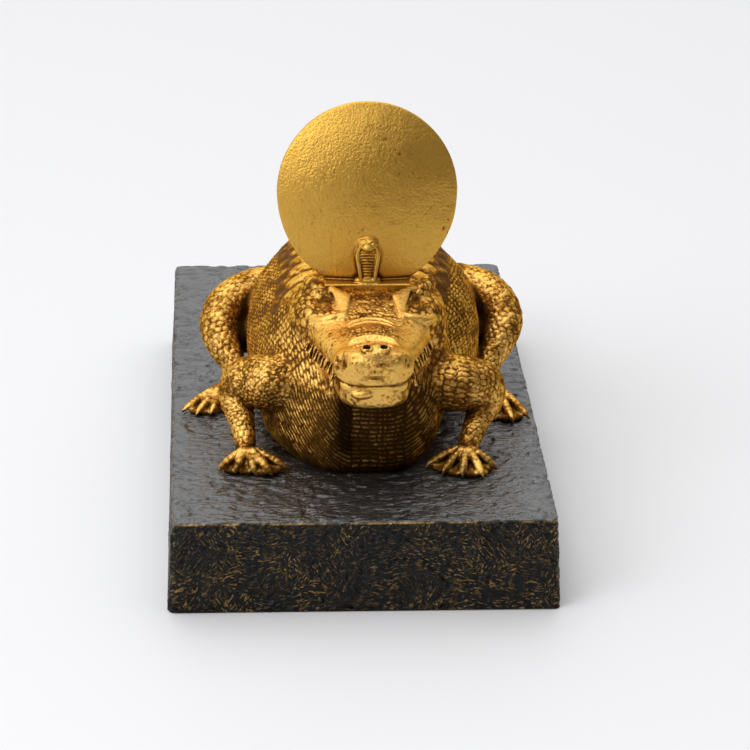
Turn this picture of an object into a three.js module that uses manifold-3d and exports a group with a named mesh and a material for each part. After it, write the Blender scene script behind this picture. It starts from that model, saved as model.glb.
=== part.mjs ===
// A crocodile crouching on a rough-hewn plinth, with a sun disk and a cobra on its head.
// Units are millimetres and +Z is up. The origin is the centre of the plinth's underside,
// the crocodile faces -Y, and its left, as a viewer in front sees it, is -X.

import * as THREE from 'three';
import { mergeVertices } from 'three/addons/utils/BufferGeometryUtils.js';
import Module from 'manifold-3d';

const wasm = await Module();
wasm.setup();

// Plinth
const PLINTH_WIDTH = 111.2;
const PLINTH_LENGTH = 205;
const PLINTH_HEIGHT = 27.5;
const PLINTH_TAPER = 1.3; // how far the top edge stands back from the bottom edge
const PLINTH_CORNER = 2.2; // radius of the upright corners
const PLINTH_EDGE = 0.9; // softening of the top and bottom edges

// Crocodile: its free form is drawn on a grid, in shares of its own length
const FIGURE_LENGTH = 183.8; // snout to tail tip, along the plinth
const FIGURE_SHIFT = 2.8; // the figure stands this far off the plinth's centre line

// Crown: platform, disk and cobra, cast as one and glued on the head
const SEAT_CLEARANCE = 0.3; // between the platform's sides and the skull
const SEAT_ROOT = { inset: 3, depth: 12 }; // the skull's block below the platform, from its edges and its underside
const PLATFORM_WIDTH = 25;
const PLATFORM_DEPTH = 12;
const PLATFORM_HEIGHT = 2;
const PLATFORM_CORNER = 2.5;
const DISK_WIDTH = 52;
const DISK_UPPER = 26; // centre to top
const DISK_LOWER = 28.5; // centre to where the lower outline would close
const DISK_FRONT_DOME = 5; // how far the front face bulges past the rim
const DISK_BACK_DOME = 3.2;
const DISK_RIM = 1.4; // thickness of the rounded rim
const DISK_CENTRE_HEIGHT = 25.3; // along the disk's face, from the platform's top
const DISK_LEAN = 11; // degrees, backwards
const DISK_BASE = 5.2; // from the platform's front edge to the disk's middle plane
const COBRA_HEIGHT = 13.4;
const COBRA_WIDTH = 6.8;
const COBRA_FOOT = 1.9; // from the platform's front edge to the middle of the cobra's foot

const GOLD = 0xb4863a;
const DARK_STONE = 0x2b2622;

const LEFT = -1;
const RIGHT = 1;

// The figure's grid: across from its axis, along from its middle, and up from the plinth's top

// Body and tail: [along, sideways, half width, bottom, widest height, top]
const BODY = [
  [-69.4, -1.6, 5, 1.5, 8, 14.5],
  [-68.4, -1.6, 10.5, -1.2, 9, 20.6],
  [-66, -1.8, 14.6, -2.4, 10, 25.5],
  [-62, -2.2, 18.8, -3, 11, 30],
  [-56, -3.2, 23.2, -3, 12.5, 36],
  [-48, -4.2, 26.4, -3, 15, 41.5],
  [-38, -3.6, 28.6, -2.8, 17.4, 44.8],
  [-26, -1.2, 32, -2.5, 19.4, 46],
  [-12, 0.4, 34.6, -2.2, 20.4, 46.5],
  [2, 0.8, 34.4, -2, 20.5, 46.2],
  [14, 1, 31.8, -1.8, 20, 45.4],
  [26, 1, 27.8, -1.6, 19, 43.4],
  [37, 1.2, 22.4, -1.4, 17, 38.5],
  [48, 1.6, 17.4, -1.2, 14.5, 32.5],
  [59, 2.2, 13.4, -1, 12, 27],
  [70, 2.2, 10.6, -1, 10, 22],
  [80, 0.8, 8.2, -0.8, 8, 17.5],
  [88, -1.6, 6.2, -0.6, 6, 13],
  [93.5, -4.2, 4, -0.4, 4.2, 9],
  [96.4, -5.8, 2, 0, 2.6, 5.6],
];
const BACK_POWER = 2.2;
const BELLY_POWER = 3;

// Upper jaw and skull: [along, half width, bottom, top]
const UPPER_JAW = [
  [-86.4, 5, 34.6, 40.4],
  [-85.6, 8, 33.2, 42.3],
  [-83, 10.7, 32.4, 43.6],
  [-79, 11.5, 32.2, 43.5],
  [-74.6, 10.9, 32.2, 42.6],
  [-69, 13, 32, 42],
  [-63.5, 15, 31.6, 42.2],
  [-58, 16.4, 31.4, 43.2],
  [-53, 18.8, 31.2, 44.6],
  [-47, 21.4, 30.6, 46.2],
  [-41, 22.4, 29.6, 46.8],
  [-34, 22.2, 28.6, 46.8],
  [-27, 20, 28, 45.6],
];
// Lower jaw, in the same form
const LOWER_JAW = [
  [-85.4, 5, 28, 33.2],
  [-84.6, 8, 26.7, 34.2],
  [-82, 10.3, 25.9, 34.4],
  [-76, 10.8, 25.6, 34],
  [-68.5, 11.8, 25.4, 33.6],
  [-61, 14.4, 25.2, 33.2],
  [-54, 18.2, 24.8, 32.8],
  [-47, 21.6, 24, 32.4],
  [-40, 23, 22.6, 32],
  [-33, 22.2, 20.8, 31.6],
];
const JAW_POWER = 2.6;
const EYES_ASIDE = 0.8; // the skull stands this far off the figure's axis at the eyes
const BROW = [0.8, 0.8, 0.8]; // the rounding of a brow plate's corners

// Legs: stations [across, along, up, radius] from the body to the palm, and the same for a calf
const LEGS = [
  {
    stations: [
      [-16, -42, 20, 9], [-26.9, -52, 21.4, 8.1], [-31, -50, 20.6, 7.8], [-35.3, -48, 19.7, 6.9],
      [-37.8, -49, 16.1, 5.3], [-36.8, -53.5, 11.8, 3.9], [-36, -57.5, 8.4, 3.2],
      [-35.5, -60.2, 5.6, 3],
    ],
    calf: null,
    palm: [-34.8, -63, 1.8],
    palmSize: [5.8, 4.8, 2.6],
    toes: [[-43.4, -67], [-38.6, -69], [-32.9, -69.8], [-28, -71], [-23.2, -67.4]],
  },
  {
    stations: [
      [12, -42, 20, 9], [24.6, -50, 20, 8.1], [29.6, -48.5, 18.8, 7.8], [33.1, -46.5, 17.2, 6.9],
      [34.3, -48, 13.9, 5.3], [32.3, -52, 10.1, 3.9], [30.1, -57, 7.2, 3.2],
      [28.7, -60.3, 5, 3],
    ],
    calf: null,
    palm: [27.6, -63.4, 1.8],
    palmSize: [6, 4.9, 2.6],
    toes: [[16, -65.8], [20.5, -71], [26.2, -73], [32.2, -73.2], [36.4, -68]],
  },
  {
    stations: [
      [-11, 31, 18, 8], [-20.5, 28, 19, 8.2], [-32.6, 18, 21.5, 7.3], [-40, 9, 20.9, 6.5],
      [-43, 1.5, 17.4, 5.4], [-41.2, -4, 13, 4.7], [-38.4, -8, 9.2, 3.9],
      [-38.6, -12, 5.6, 3.2],
    ],
    calf: [[-39.5, 4, 13, 5], [-36, 9, 12.5, 6.6], [-28, 16, 12, 8]],
    palm: [-40.4, -15, 1.8],
    palmSize: [4.4, 4.9, 2.6],
    toes: [[-54, -24.4], [-49.8, -26.6], [-45.4, -26.4], [-40.6, -24]],
  },
  {
    stations: [
      [11, 31, 18, 8], [22.5, 28, 19.4, 8.2], [35.2, 18, 22.4, 7.3], [41.7, 9, 21.8, 6.5],
      [44.2, 1.5, 18.2, 5.4], [41.6, -4, 13.4, 4.8], [38.2, -9, 9, 3.9], [38.2, -14, 5.4, 3.2],
    ],
    calf: [[40.5, 4, 13, 5], [37, 9, 12.5, 6.6], [28, 16, 12, 8]],
    palm: [39.6, -18, 1.8],
    palmSize: [4.4, 4.9, 2.6],
    toes: [[49.2, -31.4], [44.2, -34.6], [39, -32.6], [35.4, -27.6]],
  },
];

// Feet: the toes' radius, and the height of the skin between them and its reach along them
const FOOT = { toe: 1.4, web: 1.2, reach: 0.7 };

const SUNK = 3; // how far the free forms reach below the plinth's top before they are cut flat
const SEAT = { front: -43.4, height: 46 }; // the flat place on the skull that carries the crown
const END_ROUND = 0.5; // the poles of a skin stand this far outside its first and last stations

const GRID_LENGTH = BODY.at(-1)[0] - UPPER_JAW[0][0] + 2 * END_ROUND;
const UNIT = FIGURE_LENGTH / GRID_LENGTH;

// A place on the grid, in millimetres
const at = (x, y, z) => new THREE.Vector3(FIGURE_SHIFT + x * UNIT, y * UNIT, PLINTH_HEIGHT + z * UNIT);

// Closed meshes, joins and cuts

function solidOf(geometry) {
  const bare = geometry.clone();
  bare.deleteAttribute('uv');
  bare.deleteAttribute('normal');
  const merged = mergeVertices(bare, 1e-4);
  const mesh = new wasm.Mesh({
    numProp: 3,
    vertProperties: Float32Array.from(merged.attributes.position.array),
    triVerts: Uint32Array.from(merged.index.array),
  });
  return new wasm.Manifold(mesh);
}

function geometryOf(solid) {
  const mesh = solid.getMesh();
  const geometry = new THREE.BufferGeometry();
  geometry.setAttribute('position', new THREE.BufferAttribute(Float32Array.from(mesh.vertProperties), 3));
  geometry.setIndex(new THREE.BufferAttribute(Uint32Array.from(mesh.triVerts), 1));
  geometry.computeVertexNormals();
  return geometry;
}

const join = (solids) => solids.reduce((whole, next) => whole.add(next));

// The largest shell of a joined form, without the sealed pockets between its overlapping lumps
const outerShell = (solid) => solid.decompose().reduce((a, b) => (a.volume() > b.volume() ? a : b));

// A closed skin over rings with the same number of points, with a fan over each end
function skin(rings, ends = []) {
  const sides = rings[0].length;
  const middle = (ring) => ring.reduce((sum, p) => sum.add(p), new THREE.Vector3()).divideScalar(ring.length);
  const points = rings.flat();
  const first = points.push(ends[0] ?? middle(rings[0])) - 1;
  const last = points.push(ends[1] ?? middle(rings.at(-1))) - 1;
  const faces = [];
  for (let i = 0; i < sides; i++) {
    const j = (i + 1) % sides;
    faces.push(first, j, i);
    for (let r = 0; r + 1 < rings.length; r++) {
      const low = r * sides;
      const high = low + sides;
      faces.push(low + i, low + j, high + j, low + i, high + j, high + i);
    }
    const top = (rings.length - 1) * sides;
    faces.push(last, top + i, top + j);
  }
  if (signedVolume(points, faces) < 0) faces.reverse();
  const geometry = new THREE.BufferGeometry().setFromPoints(points);
  geometry.setIndex(faces);
  return solidOf(geometry);
}

function signedVolume(points, faces) {
  let volume = 0;
  for (let f = 0; f < faces.length; f += 3) {
    const [a, b, c] = [points[faces[f]], points[faces[f + 1]], points[faces[f + 2]]];
    volume += a.dot(new THREE.Vector3().crossVectors(b, c)) / 6;
  }
  return volume;
}

// An upright ring across the figure: an ellipse when a power is 2, and boxier above that
function crossRing(x, y, halfWidth, bottom, middle, top, sides, power, lowerPower = power) {
  const ring = [];
  for (let i = 0; i < sides; i++) {
    const angle = (2 * Math.PI * i) / sides;
    const c = Math.cos(angle);
    const s = Math.sin(angle);
    const roundness = 2 / (s < 0 ? lowerPower : power);
    const out = (value) => Math.sign(value) * Math.abs(value) ** roundness;
    const height = s > 0 ? top - middle : middle - bottom;
    ring.push(at(x + halfWidth * out(c), y, middle + height * out(s)));
  }
  return ring;
}

// A round limb along a smooth line of stations [x, y, z, radius], with rounded ends
function limb(stations, sides, steps) {
  const curve = new THREE.CatmullRomCurve3(stations.map(([x, y, z]) => at(x, y, z)));
  const frames = curve.computeFrenetFrames(steps, false);
  const radiusAt = (share) => {
    const along = share * (stations.length - 1);
    const i = Math.min(Math.floor(along), stations.length - 2);
    return THREE.MathUtils.lerp(stations[i][3], stations[i + 1][3], along - i) * UNIT;
  };
  const place = (step, radius, ahead) => {
    const centre = curve.getPoint(step / steps).addScaledVector(frames.tangents[step], ahead);
    return Array.from({ length: sides }, (_, k) => {
      const angle = (2 * Math.PI * k) / sides;
      return centre.clone()
        .addScaledVector(frames.normals[step], radius * Math.cos(angle))
        .addScaledVector(frames.binormals[step], radius * Math.sin(angle));
    });
  };
  const shoulder = Math.SQRT1_2; // the end caps have one ring half-way round
  const start = radiusAt(0);
  const end = radiusAt(1);
  const rings = [place(0, start * shoulder, -start * shoulder)];
  for (let step = 0; step <= steps; step++) rings.push(place(step, radiusAt(step / steps), 0));
  rings.push(place(steps, end * shoulder, end * shoulder));
  const startPole = curve.getPoint(0).addScaledVector(frames.tangents[0], -start);
  const endPole = curve.getPoint(1).addScaledVector(frames.tangents[steps], end);
  return skin(rings, [startPole, endPole]);
}

// An egg-shaped lump with its own tilt about X, in grid units
function lump([x, y, z], [across, along, up], tilt = 0, width = 8, height = 5) {
  const egg = new THREE.SphereGeometry(1, width, height);
  egg.rotateX(Math.PI / 2);
  egg.scale(across * UNIT, along * UNIT, up * UNIT);
  egg.rotateX(THREE.MathUtils.degToRad(tilt));
  const place = at(x, y, z);
  egg.translate(place.x, place.y, place.z);
  return solidOf(egg);
}

// Crocodile

const BODY_SIDES = 20;
const HEAD_SIDES = 16;

function jaw(stations) {
  const rings = stations.map(([y, halfWidth, bottom, top]) =>
    crossRing(0, y, halfWidth, bottom, (bottom + top) / 2, top, HEAD_SIDES, JAW_POWER));
  return skin(rings, capsOf(stations.map(([y, , bottom, top]) => [0, y, (bottom + top) / 2])));
}

// The poles of a skin's slightly rounded ends
function capsOf(centres) {
  const [x, y, z] = centres[0];
  const [lastX, lastY, lastZ] = centres.at(-1);
  return [at(x, y - END_ROUND, z), at(lastX, lastY + END_ROUND, lastZ)];
}

function body() {
  const rings = BODY.map(([y, x, halfWidth, bottom, middle, top]) =>
    crossRing(x, y, halfWidth, bottom, middle, top, BODY_SIDES, BACK_POWER, BELLY_POWER));
  return skin(rings, capsOf(BODY.map(([y, x, , , middle]) => [x, y, middle])));
}

function nostrils() {
  const spacing = 2.2;
  const disc = lump([0.2, -82.4, 42.7], [5, 3.6, 2.2], 16, 10, 5);
  const holes = [LEFT, RIGHT].map((side) => lump([0.2 + side * spacing, -83.6, 45], [1, 0.9, 1.5], 0, 6, 4));
  return disc.subtract(join(holes));
}

// Folds of skin across the snout, their ends forward and down: a thick one behind the nostrils, and a slight one
function snoutFolds() {
  const fold = (y, z, halfWidth, thick) => limb([
    [-halfWidth, y - 2.3, z - 1.2, thick * 0.65],
    [0, y, z, thick],
    [halfWidth, y - 2.3, z - 1.2, thick * 0.65],
  ], 5, 4);
  return [fold(-72.8, 41.7, 6.4, 1.7), fold(-61, 42.2, 7, 0.9)];
}

// One eye: the triangular brow plate, the ball, the lid below and the skull's corner behind
function eye(side) {
  const spot = (x, y, z) => [EYES_ASIDE + side * x, y, z];
  const corners = [spot(6.3, -48.6, 45.9), spot(11.2, -44.6, 47.6), spot(8, -56.6, 44.2)];
  const brow = wasm.Manifold.hull(corners.map((corner) => lump(corner, BROW, 0, 6, 4)));
  const ball = lump(spot(13.4, -48.8, 42.8), [2.8, 3.3, 2.7]);
  const lid = limb([
    [...spot(9.2, -54, 43.8), 0.8],
    [...spot(13, -55.8, 42.6), 1.2],
    [...spot(18.6, -50.8, 40.8), 0.8],
  ], 5, 4);
  const corner = limb([
    [...spot(12.8, -44.2, 45.2), 1.8],
    [...spot(15.8, -40, 45.8), 2.2],
    [...spot(17, -34, 44.6), 2.5],
  ], 6, 3);
  return [brow, ball, lid, corner];
}

// The swelling of the jaw muscles, at the corner of the mouth
const cheek = (side) => lump([side * 16.6, -42, 33.4], [6.6, 11.5, 8]);

function toe([px, py], [tx, ty]) {
  const along = (share) => [THREE.MathUtils.lerp(px, tx, share), THREE.MathUtils.lerp(py, ty, share)];
  return limb([
    [...along(0.1), 4.3, FOOT.toe],
    [...along(0.5), 3.2, FOOT.toe],
    [...along(0.8), 1.8, FOOT.toe * 0.8],
    [...along(1), 0.4, 0.4],
  ], 5, 3);
}

function web(palm, toes) {
  const reach = toes.map(([x, y]) => [
    THREE.MathUtils.lerp(palm[0], x, FOOT.reach), THREE.MathUtils.lerp(palm[1], y, FOOT.reach)]);
  const centre = at(...palm);
  const outline = [centre, ...reach.map(([x, y]) => at(x, y, 0))].map((p) => new THREE.Vector2(p.x, p.y));
  const sheet = new THREE.ExtrudeGeometry(new THREE.Shape(outline), {
    depth: (FOOT.web + SUNK) * UNIT, bevelEnabled: false,
  });
  sheet.translate(0, 0, PLINTH_HEIGHT - SUNK * UNIT);
  return solidOf(sheet);
}

function leg({ stations, calf, palm, palmSize, toes }) {
  return [
    limb(stations, 9, 9),
    ...(calf ? [limb(calf, 6, 2)] : []),
    lump(palm, palmSize),
    web(palm, toes),
    ...toes.map((tip) => toe(palm, tip)),
  ];
}

// Height of the back at a place across and along the body
function backHeight(x, y) {
  const i = BODY.findIndex((station) => station[0] > y);
  const share = (y - BODY[i - 1][0]) / (BODY[i][0] - BODY[i - 1][0]);
  const mix = (k) => THREE.MathUtils.lerp(BODY[i - 1][k], BODY[i][k], share);
  const across = Math.min(Math.abs(x) / mix(2), 1);
  return { shift: mix(1), z: mix(4) + (mix(5) - mix(4)) * (1 - across ** BACK_POWER) ** (1 / BACK_POWER) };
}

// Rows of raised plates along the back, narrower towards the tail
function backPlates() {
  const [first, last, pitch] = [-25, 54, 7.4];
  const rows = [0.22, 0.64]; // shares of the half width at which the rows lie
  const widest = 27; // the rows spread no further apart on a body that is wider than this
  const plate = { slimmest: 0.2, growth: 0.09, along: 2.8, up: 1.3, sunk: 0.1 };
  const plates = [];
  for (let y = first; y < last; y += pitch) {
    const reach = Math.min(halfWidthOfBody(y), widest);
    const size = [plate.slimmest + plate.growth * reach, plate.along, plate.up];
    for (const share of rows) {
      for (const side of [LEFT, RIGHT]) {
        const { shift, z } = backHeight(side * share * reach, y);
        plates.push(lump([shift + side * share * reach, y, z - plate.sunk], size, 0, 6, 3));
      }
    }
  }
  return plates;
}

function halfWidthOfBody(y) {
  const i = BODY.findIndex((station) => station[0] > y);
  return THREE.MathUtils.mapLinear(y, BODY[i - 1][0], BODY[i][0], BODY[i - 1][2], BODY[i][2]);
}

// Upright crest along the tail: two rows that run together into one
function tailCrest() {
  const [first, last, pitch] = [42, 92, 5.6];
  const merge = 76; // where the two rows become one
  const spread = 0.11; // how fast the rows part towards the body
  const fins = [];
  for (let y = first; y < last; y += pitch) {
    const apart = Math.max(0, (merge - y) * spread);
    const { shift, z } = backHeight(apart, y);
    for (const side of apart > 0 ? [LEFT, RIGHT] : [RIGHT]) {
      fins.push(limb([
        [shift + side * apart, y - 1.6, z - 1, 1.5],
        [shift + side * apart, y + 0.8, z + 1.2, 0.7],
      ], 4, 1));
    }
  }
  return fins;
}

function crocodile() {
  const forms = [
    body(), jaw(UPPER_JAW), jaw(LOWER_JAW), nostrils(), ...snoutFolds(),
    ...[LEFT, RIGHT].flatMap((side) => [...eye(side), cheek(side)]),
    ...LEGS.flatMap(leg), ...backPlates(), ...tailCrest(),
  ];
  const floor = new THREE.BoxGeometry(2 * PLINTH_WIDTH, 2 * PLINTH_LENGTH, PLINTH_HEIGHT);
  floor.translate(0, 0, PLINTH_HEIGHT / 2);
  const seat = platformBlock(SEAT_CLEARANCE, DISK_UPPER);
  forms.push(platformBlock(-SEAT_ROOT.inset, SEAT_ROOT.depth, -SEAT_ROOT.depth));
  return outerShell(join(forms).subtract(solidOf(floor)).subtract(seat));
}

// Crown

const seatFront = SEAT.front * UNIT;
const seatTop = PLINTH_HEIGHT + SEAT.height * UNIT;

// The platform's block, grown or shrunk sideways by a margin and raised from the seat: also the seat's cut and root
function platformBlock(margin, height, raised = 0) {
  const half = PLATFORM_WIDTH / 2 + margin;
  const front = seatFront - margin;
  const back = seatFront + PLATFORM_DEPTH + margin;
  const corner = PLATFORM_CORNER;
  const outline = new THREE.Shape();
  outline.moveTo(-half + corner, front);
  outline.lineTo(half - corner, front);
  outline.quadraticCurveTo(half, front, half, front + corner);
  outline.lineTo(half, back - corner);
  outline.quadraticCurveTo(half, back, half - corner, back);
  outline.lineTo(-half + corner, back);
  outline.quadraticCurveTo(-half, back, -half, back - corner);
  outline.lineTo(-half, front + corner);
  outline.quadraticCurveTo(-half, front, -half + corner, front);
  const block = new THREE.ExtrudeGeometry(outline, { depth: height, bevelEnabled: false, curveSegments: 4 });
  block.translate(FIGURE_SHIFT, 0, seatTop + raised);
  return solidOf(block);
}

// A lens turned about its own axis, then drawn out below its centre
function disk() {
  const steps = 4;
  const radius = DISK_WIDTH / 2;
  const flat = radius - DISK_RIM / 2; // where a face meets the rounded rim
  const face = (dome, sign) => Array.from({ length: steps + 1 }, (_, i) => {
    const out = i / steps;
    return new THREE.Vector2(out * flat, sign * (DISK_RIM / 2 + dome * (1 - out ** 2)));
  });
  const outline = [
    ...face(DISK_FRONT_DOME, -1), new THREE.Vector2(radius, 0), ...face(DISK_BACK_DOME, 1).reverse()];
  const lens = new THREE.LatheGeometry(outline, 32);
  const places = lens.attributes.position;
  for (let i = 0; i < places.count; i++) {
    const z = places.getZ(i);
    places.setZ(i, z * ((z > 0 ? DISK_UPPER : DISK_LOWER) / radius));
  }
  lens.translate(0, 0, DISK_CENTRE_HEIGHT);
  lens.rotateX(THREE.MathUtils.degToRad(-DISK_LEAN));
  lens.translate(FIGURE_SHIFT, seatFront + DISK_BASE, seatTop + PLATFORM_HEIGHT);
  return solidOf(lens);
}

// Rearing cobra: foot, ribbed hood and small head, against the disk's face
function cobra() {
  const foot = seatTop + PLATFORM_HEIGHT - 0.5;
  const tall = COBRA_HEIGHT + 0.5;
  const wide = COBRA_WIDTH / 2;
  const sides = 12;
  const lean = Math.tan(THREE.MathUtils.degToRad(DISK_LEAN));
  // Shares of the height, the half width and the depth, and how far forward the form bulges
  const stations = [
    [0, 0.55, 0.42, 0], [0.14, 0.6, 0.42, 0], [0.3, 0.86, 0.4, 0.1], [0.48, 1, 0.38, 0.24],
    [0.64, 0.96, 0.38, 0.32], [0.76, 0.7, 0.4, 0.36], [0.84, 0.6, 0.5, 0.5], [0.93, 0.62, 0.56, 0.62],
    [0.985, 0.4, 0.36, 0.62],
  ];
  const rings = stations.map(([share, width, depth, bulge]) => {
    const z = foot + share * tall;
    const y = seatFront + COBRA_FOOT + (z - foot) * lean - bulge * wide;
    return Array.from({ length: sides }, (_, k) => {
      const angle = (2 * Math.PI * k) / sides;
      return new THREE.Vector3(
        FIGURE_SHIFT + width * wide * Math.cos(angle), y + depth * wide * 1.6 * Math.sin(angle), z);
    });
  });
  return skin(rings);
}

function crown() {
  const platform = platformBlock(0, PLATFORM_HEIGHT);
  const below = new THREE.BoxGeometry(2 * DISK_WIDTH, 2 * DISK_WIDTH, 2 * DISK_LOWER);
  below.translate(FIGURE_SHIFT, seatFront, seatTop + PLATFORM_HEIGHT / 2 - DISK_LOWER);
  return join([disk().subtract(solidOf(below)), platform, cobra()]);
}

// Plinth

// A level ring with rounded corners
function cornerRing(inset, z) {
  const corner = PLINTH_CORNER;
  const steps = 3;
  const halfX = PLINTH_WIDTH / 2 - inset - corner;
  const halfY = PLINTH_LENGTH / 2 - inset - corner;
  const ring = [];
  for (const [sx, sy, start] of [[1, 1, 0], [-1, 1, 1], [-1, -1, 2], [1, -1, 3]]) {
    for (let i = 0; i <= steps; i++) {
      const angle = (start + i / steps) * (Math.PI / 2);
      ring.push(new THREE.Vector3(
        sx * halfX + corner * Math.cos(angle), sy * halfY + corner * Math.sin(angle), z));
    }
  }
  return ring;
}

function plinth() {
  const insetAt = (z) => (PLINTH_TAPER * z) / PLINTH_HEIGHT;
  const soft = PLINTH_EDGE;
  const bend = 0.3; // how much of the softening lies half-way round an edge
  const top = PLINTH_HEIGHT;
  return skin([
    cornerRing(soft, 0),
    cornerRing(soft * bend, soft * bend),
    cornerRing(insetAt(soft), soft),
    cornerRing(insetAt(top - soft), top - soft),
    cornerRing(insetAt(top) + soft * bend, top - soft * bend),
    cornerRing(insetAt(top) + soft, top),
  ]);
}

// The object

const object = new THREE.Group();

function piece(name, solid, color, roughness, metalness) {
  const material = new THREE.MeshStandardMaterial({ color, roughness, metalness, flatShading: true });
  const mesh = new THREE.Mesh(geometryOf(solid), material);
  mesh.name = name;
  object.add(mesh);
}

piece('plinth', plinth(), DARK_STONE, 0.55, 0);
piece('crocodile', crocodile(), GOLD, 0.38, 0.6);
piece('sun_disk_crown', crown(), GOLD, 0.35, 0.6);

export default object;
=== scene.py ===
import math
from itertools import product

import bpy
import numpy as np
from mathutils import Matrix, Vector


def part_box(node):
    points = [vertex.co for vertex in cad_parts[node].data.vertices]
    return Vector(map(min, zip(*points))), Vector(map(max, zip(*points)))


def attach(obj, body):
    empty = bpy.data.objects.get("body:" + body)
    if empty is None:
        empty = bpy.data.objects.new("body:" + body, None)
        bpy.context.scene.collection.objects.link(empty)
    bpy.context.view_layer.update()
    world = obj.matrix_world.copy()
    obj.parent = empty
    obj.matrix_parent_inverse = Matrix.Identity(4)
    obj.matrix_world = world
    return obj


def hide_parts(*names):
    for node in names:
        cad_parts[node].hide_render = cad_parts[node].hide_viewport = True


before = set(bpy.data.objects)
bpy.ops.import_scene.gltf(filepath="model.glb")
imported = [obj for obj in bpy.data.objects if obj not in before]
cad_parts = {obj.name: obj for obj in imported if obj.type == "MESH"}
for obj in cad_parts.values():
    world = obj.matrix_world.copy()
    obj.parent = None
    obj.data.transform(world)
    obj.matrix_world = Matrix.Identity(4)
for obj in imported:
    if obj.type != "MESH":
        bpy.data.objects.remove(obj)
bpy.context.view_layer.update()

# A gilt crocodile crouching on a rough-hewn black plinth, with a sun disk and a cobra on its head.
# Sizes are in millimetres until a mesh is made, and a mesh is in metres.

MM = 0.001

# Sizes read from the frame
plinth_box, figure_box, crown_box = [
    np.array(box) / MM for box in (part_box("plinth"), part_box("crocodile"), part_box("sun_disk_crown"))]
PLINTH_TOP = plinth_box[1, 2]
# The figure's origin: its axis stands off the plinth's middle
ORIGIN = (crown_box[:, 0].sum() / 2, 0, PLINTH_TOP)

SIDES = LEFT, RIGHT = -1, 1
CORNERS = list(product((0, 1), repeat=3))  # of a unit cell
FAR = 99.0  # a distance beyond any that counts


# Numbers and noise

def smooth_step(start, end, value):
    share = np.clip((value - start) / (end - start), 0, 1)
    return share * share * (3 - 2 * share)


def mix(a, b, share):
    return a + (b - a) * share


def scatter(seed, *cells):
    """A repeatable number from 0 to 1 for each whole-numbered cell."""
    total = np.full(np.shape(cells[0]), (seed * 7919 + 12345) & 0xFFFFFFFF, np.uint32)
    for cell, prime in zip(cells, (73856093, 19349663, 83492791)):
        total ^= cell.astype(np.int64).astype(np.uint32) * np.uint32(prime)
        total = (total ^ (total >> np.uint32(15))) * np.uint32(0x2C1B3C6D)
        total = (total ^ (total >> np.uint32(12))) * np.uint32(0x297A2D39)
        total ^= total >> np.uint32(15)
    return (total & np.uint32(0xFFFFFF)).astype(np.float32) / 16777216


def sides(share, corner):
    """How much a corner of a unit cell counts along X, Y and Z, at a place in the cell."""
    return [share[:, axis] if corner[axis] else 1 - share[:, axis] for axis in range(3)]


def noise(points, size, seed):
    """Smooth noise from 0 to 1, with features of a size, which may differ along X, Y and Z."""
    place = points / np.asarray(size, np.float32)
    cell = np.floor(place)
    share = place - cell
    share = share * share * (3 - 2 * share)
    total = np.zeros(len(points), np.float32)
    for corner in CORNERS:
        x, y, z = sides(share, corner)
        total += scatter(seed, *[cell[:, axis] + corner[axis] for axis in range(3)]) * (x * y) * z
    return total


def rough(points, size, octaves, seed):
    """Noise with finer noise on it, from 0 to 1."""
    total = np.zeros(len(points), np.float32)
    strength, sum_of_strengths = 1.0, 0.0
    for octave in range(octaves):
        total += strength * noise(points, np.asarray(size) / 2 ** octave, seed + octave)
        sum_of_strengths += strength
        strength *= 0.5
    return total / sum_of_strengths


def nearest_cells(distances):
    """From neighbours' distance and number: how much nearer the first is than the second, and its pair."""
    nearest = second = np.float32(9)
    number = 0
    for distance, value in distances:
        closer = distance < nearest
        second = np.where(closer, nearest, np.minimum(second, distance))
        number = np.where(closer, value, number)
        nearest = np.minimum(nearest, distance)
    return second - nearest, nearest, number


def plates(u, v, jitter=0.3, stagger=0.5, seed=0):
    """Irregular plates on unit cells: the distance to the next plate, that to its middle, and its number."""
    def neighbours():
        for row_step, column_step in product((-1, 0, 1), repeat=2):
            row = np.floor(v) + row_step
            shift = stagger * np.mod(row, 2)
            column = np.floor(u - shift) + column_step
            middle_u = column + 0.5 + shift + jitter * (scatter(seed, column, row) - 0.5)
            middle_v = row + 0.5 + jitter * (scatter(seed + 1, column, row) - 0.5)
            yield np.hypot(u - middle_u, v - middle_v), scatter(seed + 2, column, row)
    return nearest_cells(neighbours())


def pebbles(points, size, seed, jitter=0.9):
    """The same in space: irregular cells of a size, cut by the surface into pebbles."""
    place = points / np.asarray(size, np.float32)

    def neighbours():
        for step in product((-1, 0, 1), repeat=3):
            cell = np.floor(place) + np.array(step, np.float32)
            spot = np.stack([scatter(seed + axis, *cell.T) for axis in range(3)], 1)
            middle = cell + 0.5 + jitter * (spot - 0.5)
            yield np.sqrt(((place - middle) ** 2).sum(1)), scatter(seed + 3, *cell.T)
    return nearest_cells(neighbours())


# Forms: each gives a distance to its surface, below zero inside

def smooth_min(a, b, blend):
    share = np.clip(0.5 + 0.5 * (b - a) / blend, 0, 1)
    return b + (a - b) * share - blend * share * (1 - share)


def smooth_max(a, b, blend):
    return -smooth_min(-a, -b, blend)


class Part:
    """One form: its distance, the box that it fills, and how far it melts into what is there already."""

    def __init__(self, distance, low, high, blend, cut=False):
        self.distance, self.blend, self.cut = distance, blend, cut
        self.low, self.high = np.asarray(low, np.float32), np.asarray(high, np.float32)


def points_near(form, points, reach):
    """Which points lie in a form's box or within a reach of it."""
    return np.flatnonzero(np.all((points > form.low - reach) & (points < form.high + reach), 1))


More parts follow.
